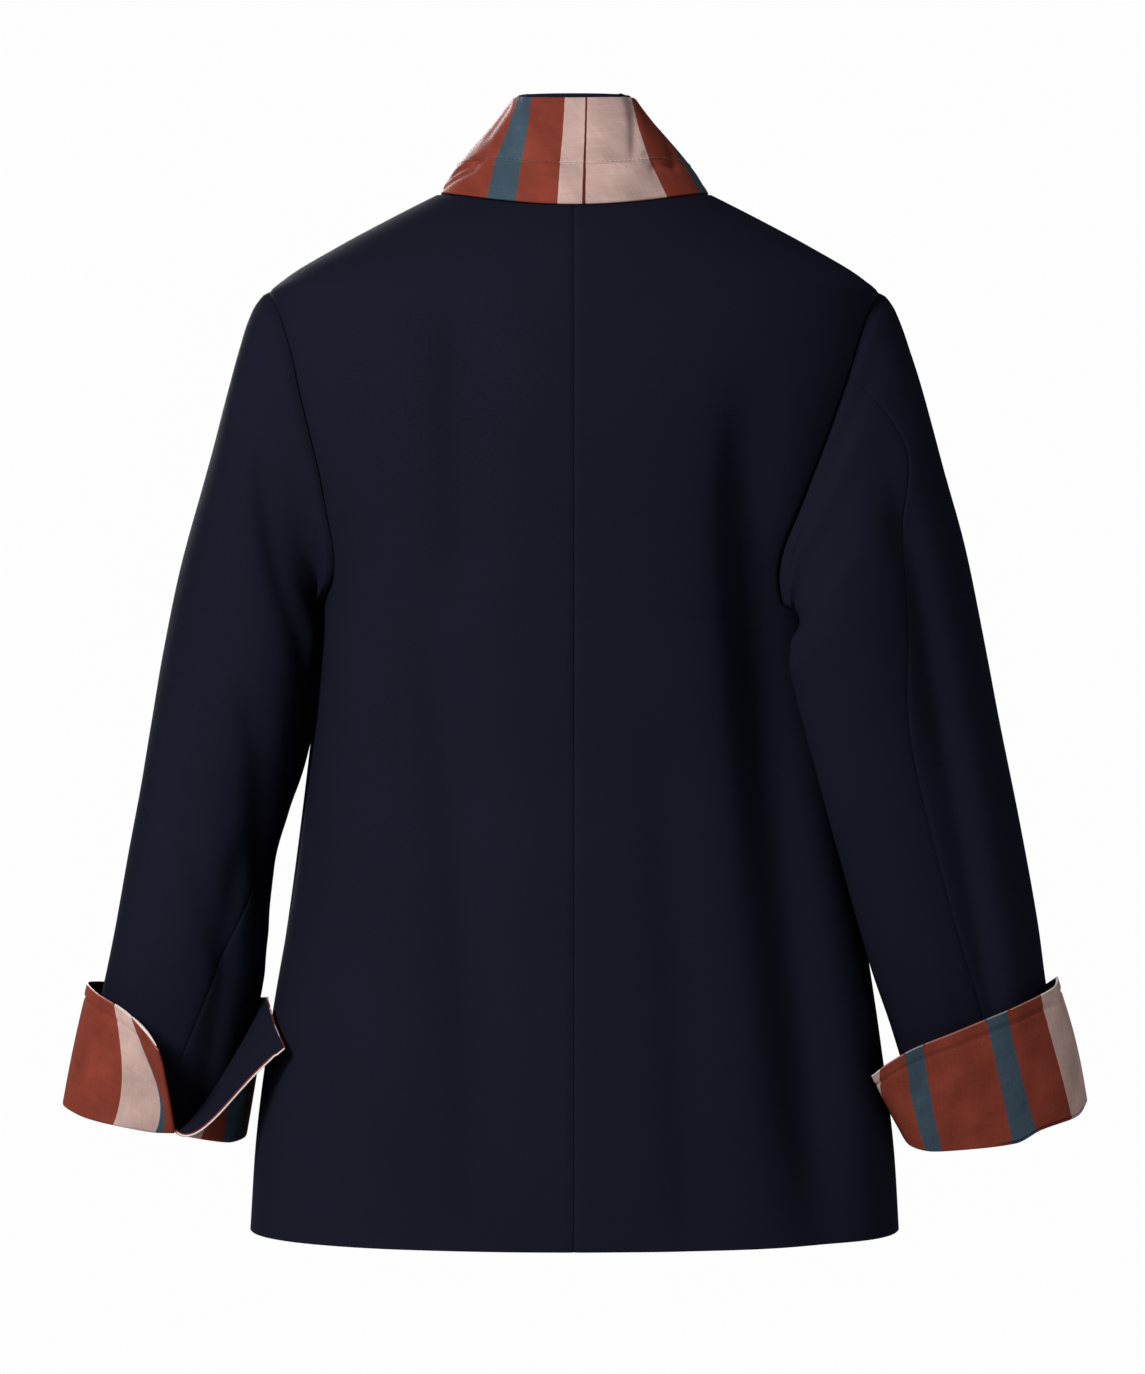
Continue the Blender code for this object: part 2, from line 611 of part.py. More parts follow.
def sleeve(side):
    """Top sleeve over the outside of the arm, under sleeve along the body."""
    run = SLEEVE_END * np.linspace(0, 1, SLEEVE_ROWS + 1) ** SLEEVE_ROW_SPREAD
    turns, back_seam, front_seam = sleeve_turns(run, side)
    last = turns.shape[1] - 1
    top = np.concatenate([turns[:, front_seam:last] - 360, turns[:, : back_seam + 1]], axis=1)
    under = turns[:, back_seam : front_seam + 1]
    suffix = "left" if side == LEFT else "right"
    for name, turn in (("top_sleeve_", top), ("under_sleeve_", under)):
        runs = np.repeat(run[:, None], turn.shape[1], axis=1)
        outer = sleeve_point(turn, runs, side)
        normals = sleeve_normals(turn, runs, side)
        normals[0], apart = scye_frame(turn[0], side)
        outer = trimmed(outer, normals, first_row=False, last_row=False)
        outer[0] += apart * SEAM_GAP / 2
        wall(name + suffix, NAVY, outer, normals)


def collar_arounds():
    """Mesh lines of the whole collar, from the right gorge round the back to the left gorge."""
    back = np.linspace(0, SIDE_NECK_AROUND, COLLAR_BACK_STEPS + 1)
    front = np.linspace(SIDE_NECK_AROUND, 1, COLLAR_FRONT_STEPS + 1)[1:]
    half = np.concatenate([back, front])
    return np.concatenate([-half[:0:-1], half])


def collar_foot(around):
    """The neckline: round the back at the neck's level, then down the front edges to the gorge."""
    side = np.where(around < 0, RIGHT, LEFT)
    share = np.abs(around)
    angle = 90 * (1 - np.clip(share / SIDE_NECK_AROUND, 0, 1))
    drop = GORGE_DROP * np.clip((share - SIDE_NECK_AROUND) / (1 - SIDE_NECK_AROUND), 0, 1)
    front = front_angle(smooth(FRONT_EDGE, "drop", "across", drop), drop)
    foot = body_point(np.where(share > SIDE_NECK_AROUND, front, angle), drop, LEFT)
    foot[..., 0] *= side
    inset = unit(foot * [1, 1, 0]) * COLLAR_FOOT_INSET
    return foot - inset + [0, 0, COLLAR_FOOT_RISE]


def collar_top(around):
    share = np.abs(around)
    x = smooth(COLLAR_TOP, "around", "across", share) * np.where(around < 0, RIGHT, LEFT)
    y = smooth(COLLAR_TOP, "around", "back", share)
    z = smooth(COLLAR_TOP, "around", "rise", share)
    return np.stack([x, y, z], axis=-1) * CM


def collar_point(around, up):
    """A slanting band: foot to top edge in straight lines, bulged out a little at its sides."""
    foot, top = collar_foot(around), collar_top(around)
    points = foot + (top - foot) * up[..., None]
    outwards = unit(points * [1, 1, 0])
    share = np.abs(around)
    sides = ease(share / COLLAR_BULGE_FADE) * ease((COLLAR_BULGE_END - share) / COLLAR_BULGE_FADE)
    return points + outwards * (COLLAR_BULGE * 4 * up * (1 - up) * sides)[..., None]


def collar():
    """Stand and under collar side by side, and the upper collar as one piece just inside them."""
    stand = np.linspace(0, COLLAR_CREASE, COLLAR_STAND_ROWS + 1)
    fall = np.linspace(COLLAR_CREASE, 1, COLLAR_FALL_ROWS + 1)[1:]
    around, up = np.meshgrid(collar_arounds(), np.concatenate([stand, fall]))
    outer = collar_point(around, up)
    normals = grid_normals(outer, outer * [1, 1, 0])
    for name, rows in (
        ("collar_stand", np.s_[: COLLAR_STAND_ROWS + 1]),
        ("under_collar", np.s_[COLLAR_STAND_ROWS:]),
    ):
        lower = name == "collar_stand"
        ends = dict(first_row=not lower, last_row=lower, first_column=False, last_column=False)
        piece = trimmed(outer[rows], normals[rows], **ends)
        wall(name, SATIN, piece, normals[rows], COLLAR_WALL, roughness=0.5)
    inner = outer - normals * (COLLAR_WALL + 2 * SEAM_GAP)
    inner[-1] += unit(inner[-1] - inner[-2]) * UPPER_COLLAR_EDGE
    wall("upper_collar", NAVY, inner, normals, COLLAR_WALL)


def lapel(side):
    """A flat piece on the front, from the roll line to its free edge, rolled a little at the fold."""
    reach = LEFT_LAPEL_REACH if side == LEFT else 1.0
    along, share = np.meshgrid(
        np.linspace(0, 1, LAPEL_ROWS + 1), np.linspace(0, 1, LAPEL_COLUMNS + 1), indexing="ij"
    )
    full_drop = smooth(LAPEL, "along", "roll_drop", along)
    width = smooth(LAPEL, "along", "edge_across", along) - smooth(FRONT_EDGE, "drop", "across", full_drop)
    roll_drop = LAPEL[0].roll_drop + (full_drop - LAPEL[0].roll_drop) * reach
    across = smooth(FRONT_EDGE, "drop", "across", roll_drop) + width * share
    drop = roll_drop + (smooth(LAPEL, "along", "edge_drop", along) - full_drop) * share
    lift = WALL + LAPEL_LIFT + LAPEL_ROLL * np.sin(math.pi * share) * (1 - along)
    outer = front_point(across, drop, side, lift)
    normals = grid_normals(outer, outer * [1, 1, 0])
    return wall("lapel_" + ("left" if side == LEFT else "right"), NAVY, outer, normals)


def cuff_ribs(table, turn, up, side):
    """Ribs from the fold to the free edge, straight but for the wing's, which sag near the fold."""
    read = {name: smooth(table, "turn", name, turn) for name in Rib._fields[1:]}
    low = np.stack([read["low_x"], read["low_y"], -read["low_drop"]], axis=-1) * CM
    top = np.stack([read["top_x"], read["top_y"], -read["top_drop"]], axis=-1) * CM
    points = low + (top - low) * up[..., None]
    if side == LEFT:
        wing = ease((turn - WING_START) / (WING_FULL - WING_START))
        points[..., 2] -= WING_BOW * up * (1 - up) ** 3 * wing
    return points * [side, 1, 1]


def cuff_bottom(low, side):
    """Where the cuff's bottom meets the sleeve's end, straight inwards from each point of the fold."""
    centre, half, across = sleeve_axes(np.array(SLEEVE_END), side)
    away = low * [side, 1, 1] - centre
    turn = np.arctan2(
        (away * across).sum(-1) / (across**2).sum(), (away * half).sum(-1) / (half**2).sum()
    )
    down = unit(np.cross(half, across))
    down = down * (1 if down[2] < 0 else -1)
    seam = section(np.degrees(turn), np.full(turn.shape, SLEEVE_END), side)
    return (seam + down * (CUFF_WALL + CUFF_SEAM_GAP)) * [side, 1, 1]


def cuff(name, table, side, around):
    """The sleeve's end turned up: a bottom from the sleeve out to the fold, then ribs to the free edge."""
    turns = np.linspace(table[0].turn, table[-1].turn, CUFF_STEPS + 1)
    turns = turns[:-1] if around else turns
    turn, up = np.meshgrid(turns, np.linspace(0.0, 1, CUFF_ROWS + 1))
    ribs = cuff_ribs(table, turn, up, side)
    seam = cuff_bottom(ribs[0], side)
    middle = (seam + ribs[0]) / 2 - [0, 0, CUFF_BOTTOM_SAG]
    ribs = np.concatenate([seam[None], middle[None], ribs])
    centre = sleeve_axes(np.array(SLEEVE_END), side)[0] * [side, 1, 1]
    wrapped = np.concatenate([ribs[:, -1:], ribs, ribs[:, :1]], axis=1) if around else ribs
    normals = grid_normals(wrapped, wrapped - centre)
    normals = normals[:, 1:-1] if around else normals
    return wall(name, SATIN, ribs, normals, CUFF_WALL, around=around, roughness=0.5)


def front_button():
    """A turned disc with a raised rim and four sewing holes, just clear of the right front."""
    rim = BUTTON_RADIUS - BUTTON_RIM
    half = BUTTON_THICKNESS / 2
    profile = (
        (0.0, -half),
        (rim, -half),
        (BUTTON_RADIUS, -half / 2),
        (BUTTON_RADIUS, half / 2),
        (BUTTON_RADIUS - BUTTON_RIM / 2, half),
        (rim, half - BUTTON_DISH),
        (0.0, half - BUTTON_DISH),
    )
    shape = bmesh.new()
    points = [shape.verts.new((radius, 0, height)) for radius, height in profile]
    edges = [shape.edges.new(pair) for pair in zip(points, points[1:])]
    bmesh.ops.spin(
        shape,
        geom=points + edges,
        cent=(0, 0, 0),
        axis=(0, 0, 1),
        angle=2 * math.pi,
        steps=BUTTON_SIDES,
        use_merge=True,
        use_duplicate=False,
    )
    bmesh.ops.remove_doubles(shape, verts=shape.verts, dist=1e-6)
    bmesh.ops.recalc_face_normals(shape, faces=shape.faces)
    mesh = bpy.data.meshes.new("front_button")
    shape.to_mesh(mesh)
    shape.free()
    mesh.shade_smooth()
    mesh.set_sharp_from_angle(angle=math.radians(40))
    mesh.materials.append(material("button_horn", HORN, 0.35))
    button = bpy.data.objects.new("front_button", mesh)
    bpy.context.scene.collection.objects.link(button)
    seat = front_point(0.0, BUTTON_DROP, RIGHT)
    button.rotation_euler = (math.radians(90), 0, 0)
    button.location = (seat[0], seat[1] - half - SEAM_GAP * 2, seat[2])
    for index in range(4):
        around = math.radians(45 + 90 * index)
        bpy.ops.mesh.primitive_cylinder_add(
            vertices=12, radius=BUTTON_HOLE_RADIUS, depth=4 * BUTTON_THICKNESS
        )
        cutter = bpy.context.object
        cutter.name = f"button_hole_cutter_{index}"
        cutter.parent = button
        cutter.location = (
            BUTTON_HOLE_SPREAD * math.cos(around),
            BUTTON_HOLE_SPREAD * math.sin(around),
            0,
        )
        cutter.hide_render = True
        cutter.display_type = "WIRE"
        cut = button.modifiers.new(f"hole_{index}", "BOOLEAN")
        cut.operation = "DIFFERENCE"
        cut.object = cutter
    return button


def main():
    for thing in list(bpy.data.objects):
        bpy.data.objects.remove(thing)
    for side, suffix in ((LEFT, "left"), (RIGHT, "right")):
        body_panel("back_" + suffix, side, BACK)
        body_panel("front_" + suffix, side, FRONT)
        lapel(side)
        sleeve(side)
    collar()
    cuff("cuff_left", LEFT_CUFF, LEFT, around=False)
    cuff("cuff_right", RIGHT_CUFF, RIGHT, around=True)
    front_button()


main()
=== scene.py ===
"""The looks of a navy blazer that stands open as if worn, with its striped collar and cuffs turned out.

Every cloth piece is one sheet of cloth worked out as a grid of points, given a wall, rolled seam edges
and its weave. Lengths in the tables are in centimetres and angles in degrees; a drop is a distance below
the side neck points. The front faces -Y and the wearer's left is +X.
"""

import math
from collections import namedtuple
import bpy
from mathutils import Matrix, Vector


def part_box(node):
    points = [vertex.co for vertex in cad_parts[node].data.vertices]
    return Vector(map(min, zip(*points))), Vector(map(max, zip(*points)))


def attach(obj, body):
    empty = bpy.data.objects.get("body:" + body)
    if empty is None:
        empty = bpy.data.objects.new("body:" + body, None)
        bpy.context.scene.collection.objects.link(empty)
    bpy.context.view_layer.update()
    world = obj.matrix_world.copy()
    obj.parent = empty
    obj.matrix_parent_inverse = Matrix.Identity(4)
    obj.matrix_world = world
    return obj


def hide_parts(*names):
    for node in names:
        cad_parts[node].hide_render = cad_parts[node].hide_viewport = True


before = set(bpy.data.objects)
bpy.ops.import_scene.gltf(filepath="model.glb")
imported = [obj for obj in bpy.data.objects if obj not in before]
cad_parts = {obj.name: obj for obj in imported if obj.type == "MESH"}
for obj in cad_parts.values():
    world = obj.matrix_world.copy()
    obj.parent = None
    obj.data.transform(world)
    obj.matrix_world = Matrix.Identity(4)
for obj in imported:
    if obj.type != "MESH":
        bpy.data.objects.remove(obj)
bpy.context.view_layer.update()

import bmesh
import bpy
import numpy as np
from mathutils import Vector

bl_info = {
    "name": "Blazer with turned-up collar",
    "version": (1, 0, 0),
    "blender": (4, 5, 0),
    "location": "3D View > Sidebar > Blazer",
    "description": "Makes the cloth, the sewing and the stage of a blazer round its solid parts",
    "category": "Add Mesh",
}

CM, MM = 0.01, 0.001
LEFT, RIGHT = 1, -1
BACK, FRONT = 1, -1
LENGTH = 71.2


def table(columns, *rows):
    """Rows whose values are read by the names of their columns."""
    row_type = namedtuple("Row", columns)
    return [row_type(*row) for row in rows]


# ---------------------------------------------------------------- body

BODY_LEVELS = table(
    "drop half_width back front roundness",
    (0, 9.35, 7.4, 6.4, 2),
    (1.5, 12.3, 8.6, 7.3, 1.95),
    (3.7, 16.4, 9.9, 8.4, 1.92),
    (5.9, 20, 10.9, 9.4, 1.90),
    (6.9, 21, 11.2, 9.8, 1.92),
    (9.5, 20.9, 11.8, 10.7, 2.05),
    (12.5, 20.6, 12.3, 11.5, 2.18),
    (16, 19.9, 12.7, 12.4, 2.24),
    (21, 18.6, 12.9, 13.3, 2.25),
    (27, 17.4, 12.9, 13.6, 2.25),
    (33, 17.7, 12.7, 13, 2.25),
    (39, 18.35, 12.6, 12.6, 2.20),
    (48.6, 19.6, 12.9, 12.6, 2.20),
    (58, 21, 13.3, 13, 2.20),
    (66, 22, 13.6, 13.3, 2.20),
    (LENGTH, 22.35, 13.7, 13.4, 2.20),
)
NECK_DIP = 1.4
NECK_DIP_REACH = 9.0

# Folds as soft troughs (a negative depth is a ridge). Near is the width towards the centre line.
BODY_FOLDS = table(
    "face side top_across top_drop low_across low_drop bow depth near far",
    (BACK, RIGHT, 11.4, 9, 17.2, 70, -0.4, 1.60, 2.4, 2.3),
    (BACK, RIGHT, 11, 13, 13.2, 45, -0.5, 0.55, 1.1, 2.2),
    (BACK, RIGHT, 15.2, 24, 20, 70, 0, -0.30, 2, 2),
    (BACK, RIGHT, 5.6, 34, 7.8, 71, 0.2, 0.36, 1.6, 2.6),
    (BACK, LEFT, 10.8, 24, 6.4, 69, -1, 0.75, 3, 1.9),
    (BACK, LEFT, 8, 5, 7.4, 28, 0, 0.60, 3, 1.7),
    (BACK, LEFT, 14, 26, 12.6, 68, 0, -0.30, 2.6, 2.6),
    (BACK, LEFT, 15.6, 20, 18.4, 52, 0.3, 0.30, 1.4, 1.8),
    (FRONT, RIGHT, 11, 20, 13.5, 70, 0.4, 0.55, 2.6, 3.4),
    (FRONT, RIGHT, 14.4, 17, 11.6, 36, 0.2, 0.30, 1.6, 2.2),
    (FRONT, RIGHT, 5.6, 36, 9.2, 70, -0.3, 0.28, 2, 2.8),
    (FRONT, LEFT, 10, 22, 15.5, 70, -0.5, 0.75, 2.2, 3.4),
    (FRONT, LEFT, 13.8, 18, 12.4, 34, 0.3, 0.26, 1.4, 2),
    (FRONT, LEFT, 4.4, 37, 6.6, 69, 0.2, 0.22, 2.2, 2.6),
)
# The button pulls the fronts: small drag folds that run up and down from it.
DRAG_DROP, DRAG_REACH, DRAG_DEPTH = 36.4, 7.0, 0.12
RIPPLE = 0.035

ARMHOLE = table(
    "turn left_drop left_angle right_drop right_angle",
    (0, 6.55, 0, 6.6, 0),
    (30, 8.3, 14.5, 8.4, 16),
    (60, 12.8, 24, 13, 26.5),
    (90, 18.3, 26, 18.9, 32.8),
    (120, 23.6, 23.5, 24.5, 36),
    (150, 27.1, 16, 28.4, 34),
    (180, 28.2, 0, 29.6, 0),
    (210, 27, -17, 28.2, -17),
    (240, 23.2, -26, 23.6, -26),
    (270, 17.8, -29, 18, -29),
    (300, 12.6, -24.5, 12.7, -24.5),
    (330, 8.3, -14, 8.4, -14),
    (360, 6.55, 0, 6.6, 0),
)

FRONT_EDGE = table(
    "drop across",
    (0, 9.2),
    (2, 8.6),
    (5, 7.5),
    (10, 6.1),
    (18, 3.9),
    (26, 1.4),
    (33.5, -1.7),
    (36, -2),
    (LENGTH, -2),
)
OVERLAP_LIFT = 0.0028
OVERLAP_REACH = 7.5
OVERLAP_FADE = 4.0

LAPEL = table(
    "along roll_drop edge_across edge_drop",
    (0, 5.2, 14, 8.4),
    (0.12, 8.4, 13.9, 11.4),
    (0.4, 15.5, 11.2, 18),
    (0.7, 22.5, 6.6, 24.2),
    (0.85, 27.2, 2.6, 28.2),
    (1, 32.6, -1.25, 32.9),
)
LEFT_LAPEL_REACH = 0.85
LAPEL_OVER = 0.0027      # the lapel's face above the front's
LAPEL_UNDER = -0.0035    # the roll's other side, inside the front
LAPEL_PUFF = 0.0035

# ---------------------------------------------------------------- sleeves

ARM = "run outer_x outer_y outer_drop inner_x inner_y inner_drop half_depth"
LEFT_SLEEVE = table(
    ARM,
    (0, 20.75, 0, 6.55, 17.35, 0, 28.2, 5.8),
    (2, 22, 0, 8, 17.45, -0.7, 28.6, 6),
    (5, 23, 0, 10.8, 17.3, -2, 29, 6.3),
    (9, 24.1, 0.1, 14.6, 17.05, -3.4, 29.5, 6.9),
    (14, 25.3, 0.2, 19.5, 16.9, -4.2, 30.2, 7.5),
    (20, 26.7, 0.3, 25.4, 16.9, -4.2, 31.4, 7.6),
    (26, 28, 0.3, 31.6, 17.5, -3.8, 34.6, 7.4),
    (32, 29.15, 0.1, 37.2, 18.45, -2.8, 38.8, 6.6),
    (36, 29.9, -0.1, 41.2, 19.75, -1.9, 42.6, 5.8),
    (40, 30.7, -0.3, 45.2, 20.65, -1.1, 46.2, 5.6),
    (45, 31.65, -0.5, 50.2, 21, -0.6, 50.9, 5.3),
    (50, 32.65, -0.6, 55, 21.8, -0.5, 56, 4.7),
    (58.5, 34.3, -0.8, 62.5, 23.7, -0.8, 64.2, 4.2),
)
RIGHT_SLEEVE = table(
    ARM,
    (0, 20.8, 0, 6.6, 17.2, 0, 29.6, 5.9),
    (2, 22, 0, 8, 16.9, 1.4, 29.8, 5.9),
    (5, 23, 0.1, 10.8, 16, 4.6, 30.1, 5.8),
    (9, 24.1, 0.2, 14.6, 14.9, 7, 30.4, 5.4),
    (14, 25.2, 0.3, 19.5, 14.4, 8.4, 31, 5),
    (20, 26.65, 0.4, 25.2, 14.4, 8.9, 32.3, 4.6),
    (26, 27.95, 0.4, 31.4, 14.9, 8.5, 34.6, 4.4),
    (32, 29.05, 0.4, 37, 16.1, 7.7, 38.8, 4.3),
    (38, 30.3, 0.3, 43, 17.7, 6.5, 44.6, 4.3),
    (45, 31.7, 0, 50.2, 19.9, 4.7, 51.8, 4.3),
    (50, 32.5, -0.3, 55, 21.8, 3.3, 57, 4),
    (58.5, 34.4, -1, 62.2, 23.8, 0.8, 63.6, 3.9),
)
SLEEVE_END = 58.5
CAP_BLEND = (13.0, 8.0, 8.0)  # by axis: over this run the armhole's shape fades into the sections
PUSH_BLEND = 1.2
BODY_CLEARANCE = 0.0035       # the least space between sleeve and body
CAP_FULLNESS = 0.0016         # how far the sleeve's cap swells just below its seam

BACK_SEAM = table(
    "run left right",
    (0, 165, 60),
    (9, 168.9, 61),
    (14, 170.9, 77),
    (20, 172, 90),
    (33, 168.5, 107),
    (42, 138, 104),
    (46, 123.9, 101),
    (50, 112, 97),
    (SLEEVE_END, 96, 93),
)
FRONT_SEAM_TURN = 240.0

SLEEVE_FOLDS = table(
    "side from_turn from_run to_turn to_run depth near far",
    (LEFT, 62, 6, 128, 30, 0.45, 15, 20),
    (LEFT, 70, 27, 150, 41, 0.45, 12, 18),
    (LEFT, 100, 20, 150, 33, 0.22, 9, 12),
    (LEFT, 60, 36, 122, 47, 0.20, 10, 14),
    (LEFT, 118, 38, 128, 56, 0.28, 12, 9),
    (LEFT, 250, 30, 200, 44, 0.50, 16, 20),
    (LEFT, 285, 10, 240, 30, 0.28, 14, 12),
    (LEFT, 300, 32, 262, 52, 0.22, 12, 16),
    (RIGHT, 78, 8, 88, 46, 0.75, 10, 14),
    (RIGHT, 104, 30, 112, 52, 0.18, 12, 10),
    (RIGHT, 128, 10, 120, 26, -0.18, 14, 14),
    (RIGHT, 30, 20, 46, 50, 0.12, 14, 18),
    (RIGHT, 290, 14, 262, 44, 0.50, 16, 20),
    (RIGHT, 240, 24, 228, 50, 0.26, 12, 14),
)

# ---------------------------------------------------------------- collar and cuffs

SIDE_NECK_AROUND = 0.62
GORGE_DROP = 5.0
COLLAR_FOOT_RISE = 0.0012
COLLAR_FOOT_INSET = 0.0010
COLLAR_CREASE = 0.36
COLLAR_TUCK = 0.010       # how far the stand reaches below the foot, as a share of the height
COLLAR_INSIDE = 0.13     # the same for the upper collar, inside the neck
COLLAR_TOP = table(
    "around across back rise",
    (0, 0, 5.4, 6),
    (0.05, 0.76, 5.38, 6.01),
    (0.18, 3.05, 4.35, 6.17),
    (0.28, 4.1, 2.3, 6.4),
    (0.45, 4.7, -0.9, 5.95),
    (0.62, 5.2, -3.9, 5.05),
    (0.8, 5.7, -6.8, 3.5),
    (1, 6.3, -9.4, 1.6),
)
COLLAR_BULGE = 0.0045
UPPER_COLLAR_EDGE = 0.0038

# Creases of the collar, from one point to another in shares around and up. Depth in millimetres.
COLLAR_FOLDS = table(
    "from_around from_up to_around to_up depth width",
    (0.290, 0.41, 0.62, 0.16, 3.4, 0.044),
    (0.315, 0.32, 0.66, -0.04, 2.8, 0.044),
    (0.28, 0.98, 0.38, 0.55, 1.5, 0.070),
    (0.234, 1.10, 0.220, 0.72, 0.5, 0.022),
    (0.257, 1.10, 0.245, 0.82, 0.4, 0.018),
    (-0.252, 1.15, -0.188, 0.30, 2, 0.042),
    (-0.225, 0.46, -0.285, 0.24, 1.4, 0.050),
    (-0.24, 0.30, -0.40, 0.28, 1.7, 0.040),
    (-0.42, 0.80, -0.36, 0.22, 3.2, 0.060),
    (-0.44, 0.46, -0.60, 0.04, 1.4, 0.070),
    (0.05, 0.34, 0.11, 0, 0.35, 0.060),
    (-0.12, 0.30, -0.05, 0.02, 0.30, 0.070),
    (-0.72, 0.90, -0.70, 0.12, 0.9, 0.060),
    (0.76, 0.95, 0.80, 0.22, 0.9, 0.060),
)

# The collar's stripes: where each ends across the back, seen from behind, at four heights.
COLLAR_END = 1.02
COLLAR_STRIPE_MIDDLE = 0.68   # the height of the middle column
COLLAR_STRIPES = table(
    "colour foot crease middle top",
    ("rust", 5.93, 5.39, 4.52, 3.84),
    ("teal", 4.11, 3.71, 3.30, 3.03),
    ("rust", 1.25, 1.08, 0.88, 0.74),
    ("pink", -0.34, -0.47, -0.60, -0.67),
    ("dark", -0.61, -0.67, -0.76, -0.81),
    ("pink", -6.27, -5.12, -4.38, -3.88),
    ("rust", -8.55, -7.40, -6.30, -5.30),
)
# Beyond the side necks they go on like this, as shares around the collar.
LEFT_SIDE_STRIPES = table("colour end", ("teal", 0.93), ("pink", 0.86), ("rust", 0.70), ("pink", 0.645))
RIGHT_SIDE_STRIPES = table("colour end", ("teal", -0.64), ("rust", -0.82), ("pink", -1.01))

RIB = "turn low_x low_y low_drop top_x top_y top_drop"
RIGHT_CUFF = table(
    RIB,
    (0, 35.6, -1.2, 62.8, 33.4, -0.8, 54),
    (30, 34.7, 1.6, 63.5, 32.9, 2.7, 54.4),
    (60, 31.9, 3.9, 64.3, 30.2, 5.5, 55.55),
    (75, 30.1, 4.5, 65.2, 28.2, 6.5, 56.3),
    (100, 27.3, 5.1, 65.5, 25.6, 7.3, 57.3),
    (130, 24.4, 4.7, 65.7, 22.7, 7.6, 58.45),
    (155, 22.9, 3.3, 65.35, 20.9, 7.2, 59.6),
    (180, 22.4, 1.3, 64.45, 20.2, 6, 60.3),
    (215, 23.1, -2, 64.6, 21.8, 1.6, 60),
    (250, 25.9, -4.9, 64.6, 24.5, -3.4, 58.6),
    (290, 30.7, -5.7, 63.9, 29.1, -5.3, 57.2),
    (325, 34.3, -4.1, 63.3, 32.3, -4.2, 55.3),
    (360, 35.6, -1.2, 62.8, 33.4, -0.8, 54),
)
LEFT_CUFF = table(
    RIB,
    (0, 27.2, 4.45, 64.4, 27.9, 9, 58.3),
    (8, 28.2, 4.35, 64.4, 28.9, 7.4, 57.2),
    (22, 30.5, 4, 64.1, 30.6, 5.2, 55.9),
    (44, 33.6, 2.6, 63.5, 32.6, 2.9, 54.9),
    (68, 35.4, -0.8, 62.9, 33.6, -0.8, 54.4),
    (100, 33.7, -4.4, 63.2, 31.9, -4.8, 54.7),
    (135, 28.9, -6.1, 64, 27.2, -6.4, 55.4),
    (170, 24.3, -4.6, 64.7, 22.7, -4.6, 55.7),
    (195, 22.7, -1.2, 65.2, 21.25, -1.6, 55.5),
    (215, 23.4, 2.1, 65.3, 21.15, 0.4, 55.4),
    (232, 25, 3.7, 65, 21.1, 1.3, 55.4),
    (245, 26.6, 4.3, 64.6, 21, 2, 55.5),
    (252, 26.95, 4.6, 64.4, 20.8, 3, 55.9),
    (266, 27, 4.75, 64.35, 20.3, 5, 57),
    (280, 27.05, 4.9, 64.3, 19.5, 7.2, 58.3),
)
WING_BOW = 0.105
WING_START, WING_FULL = 232.0, 272.0
CUFF_HEM = 0.009         # the turned edge under the cuff's rim
CUFF_HEM_STEP = 0.0007
CUFF_SWELL = 0.0018      # how far the cuff stands out half way up
CUFF_RIM_WALL = 0.0013
CUFF_THIN_FROM = 0.86    # the height from which the cuff's wall thins towards its rim
PIPED_TURN, PINK_TURN = 17.0, 28.5  # up to here the left rim shows a pale cord, the lining's rolled edge painted as a highlight, first on rust, then on pink
RIM_ROLL = 0.00055       # radius of the rolled edge along a cuff's rim

# Stripes round each cuff: the turn at which each ends, at the fold, half way up and at the rim.
CUFF_START = -4.0
CUFF_STRIPE = "colour low middle top"
RIGHT_CUFF_STRIPES = table(
    CUFF_STRIPE,
    ("pink", 38, 44, 46),
    ("rust", 62, 65.5, 66),
    ("teal", 76.8, 77, 78),
    ("rust", 121, 120, 120),
    ("teal", 136, 135.5, 135),
    ("rust", 196, 177, 160),
    ("pink", 212, 208, 204),
    ("teal", 222, 219, 216),
    ("rust", 268, 266, 266),
    ("pink", 300, 300, 299),
    ("rust", 322, 322, 321),
    ("teal", 334, 333, 333),
    ("rust", 351, 350, 350),
    ("pink", 361, 361, 361),
)
LEFT_CUFF_STRIPES = table(
    CUFF_STRIPE,
    ("rust", 0.2, 5.2, 15.8),
    ("teal", 9.6, 5.2, 15.8),
    ("pink", 28.2, 22.6, 28),
    ("rust", 76, 74, 90),
    ("teal", 104, 103, 103),
    ("rust", 142, 142, 141),
    ("pink", 171, 171, 170),
    ("dark", 206, 214, 216),
    ("teal", 221, 234, 238),
    ("rust", 235, 243, 252),
    ("pink", 275, 262, 257),
    ("rust", 277, 270, 265),
    ("pink", 279, 276, 272),
    ("rust", 281, 281, 281),
)
STRIPE_MIDDLE = 0.57     # the height of the middle column of both tables
# The height at which each satin's ramp has its stripes' true shares.
COLLAR_SHARE_HEIGHT, CUFF_SHARE_HEIGHT = 0.5, 0.42

# ---------------------------------------------------------------- cloth

WALL = 0.0016
CUFF_WALL = 0.0022
COLLAR_WALL = 0.0014
SEAM_GAP = 0.0003
SEAM_DIP = 0.0010
SLEEVE_SEAM_DIP = 0.0006
COLLAR_SEAM_DIP = 0.00022
SEAM_ROLL = 0.0012       # how far from a seam the cloth starts to roll into it

PANEL_COLUMNS = 76
SHOULDER_ROWS = 24
SCYE_ROWS = 64
SIDE_ROWS = 100
SLEEVE_ROWS = 170
SLEEVE_COLUMNS = 76
COLLAR_COLUMNS = 300
COLLAR_ROWS = 44
LAPEL_COLUMNS = 30
LAPEL_ROLL_STEPS = 8
LAPEL_ROWS = 110
CUFF_COLUMNS = 380
CUFF_ROWS = 56
CUFF_BOTTOM_ROWS = 8

YARN = 0.0012            # distance between the satin's yarns
STRIPE_WANDER = 0.0012   # how far a stripe's edge strays, as a share of all the stripes' width

# ---------------------------------------------------------------- sewing, button and stage

SKEW = (0.31, 0.2, 0.93)  # no cord runs along this line
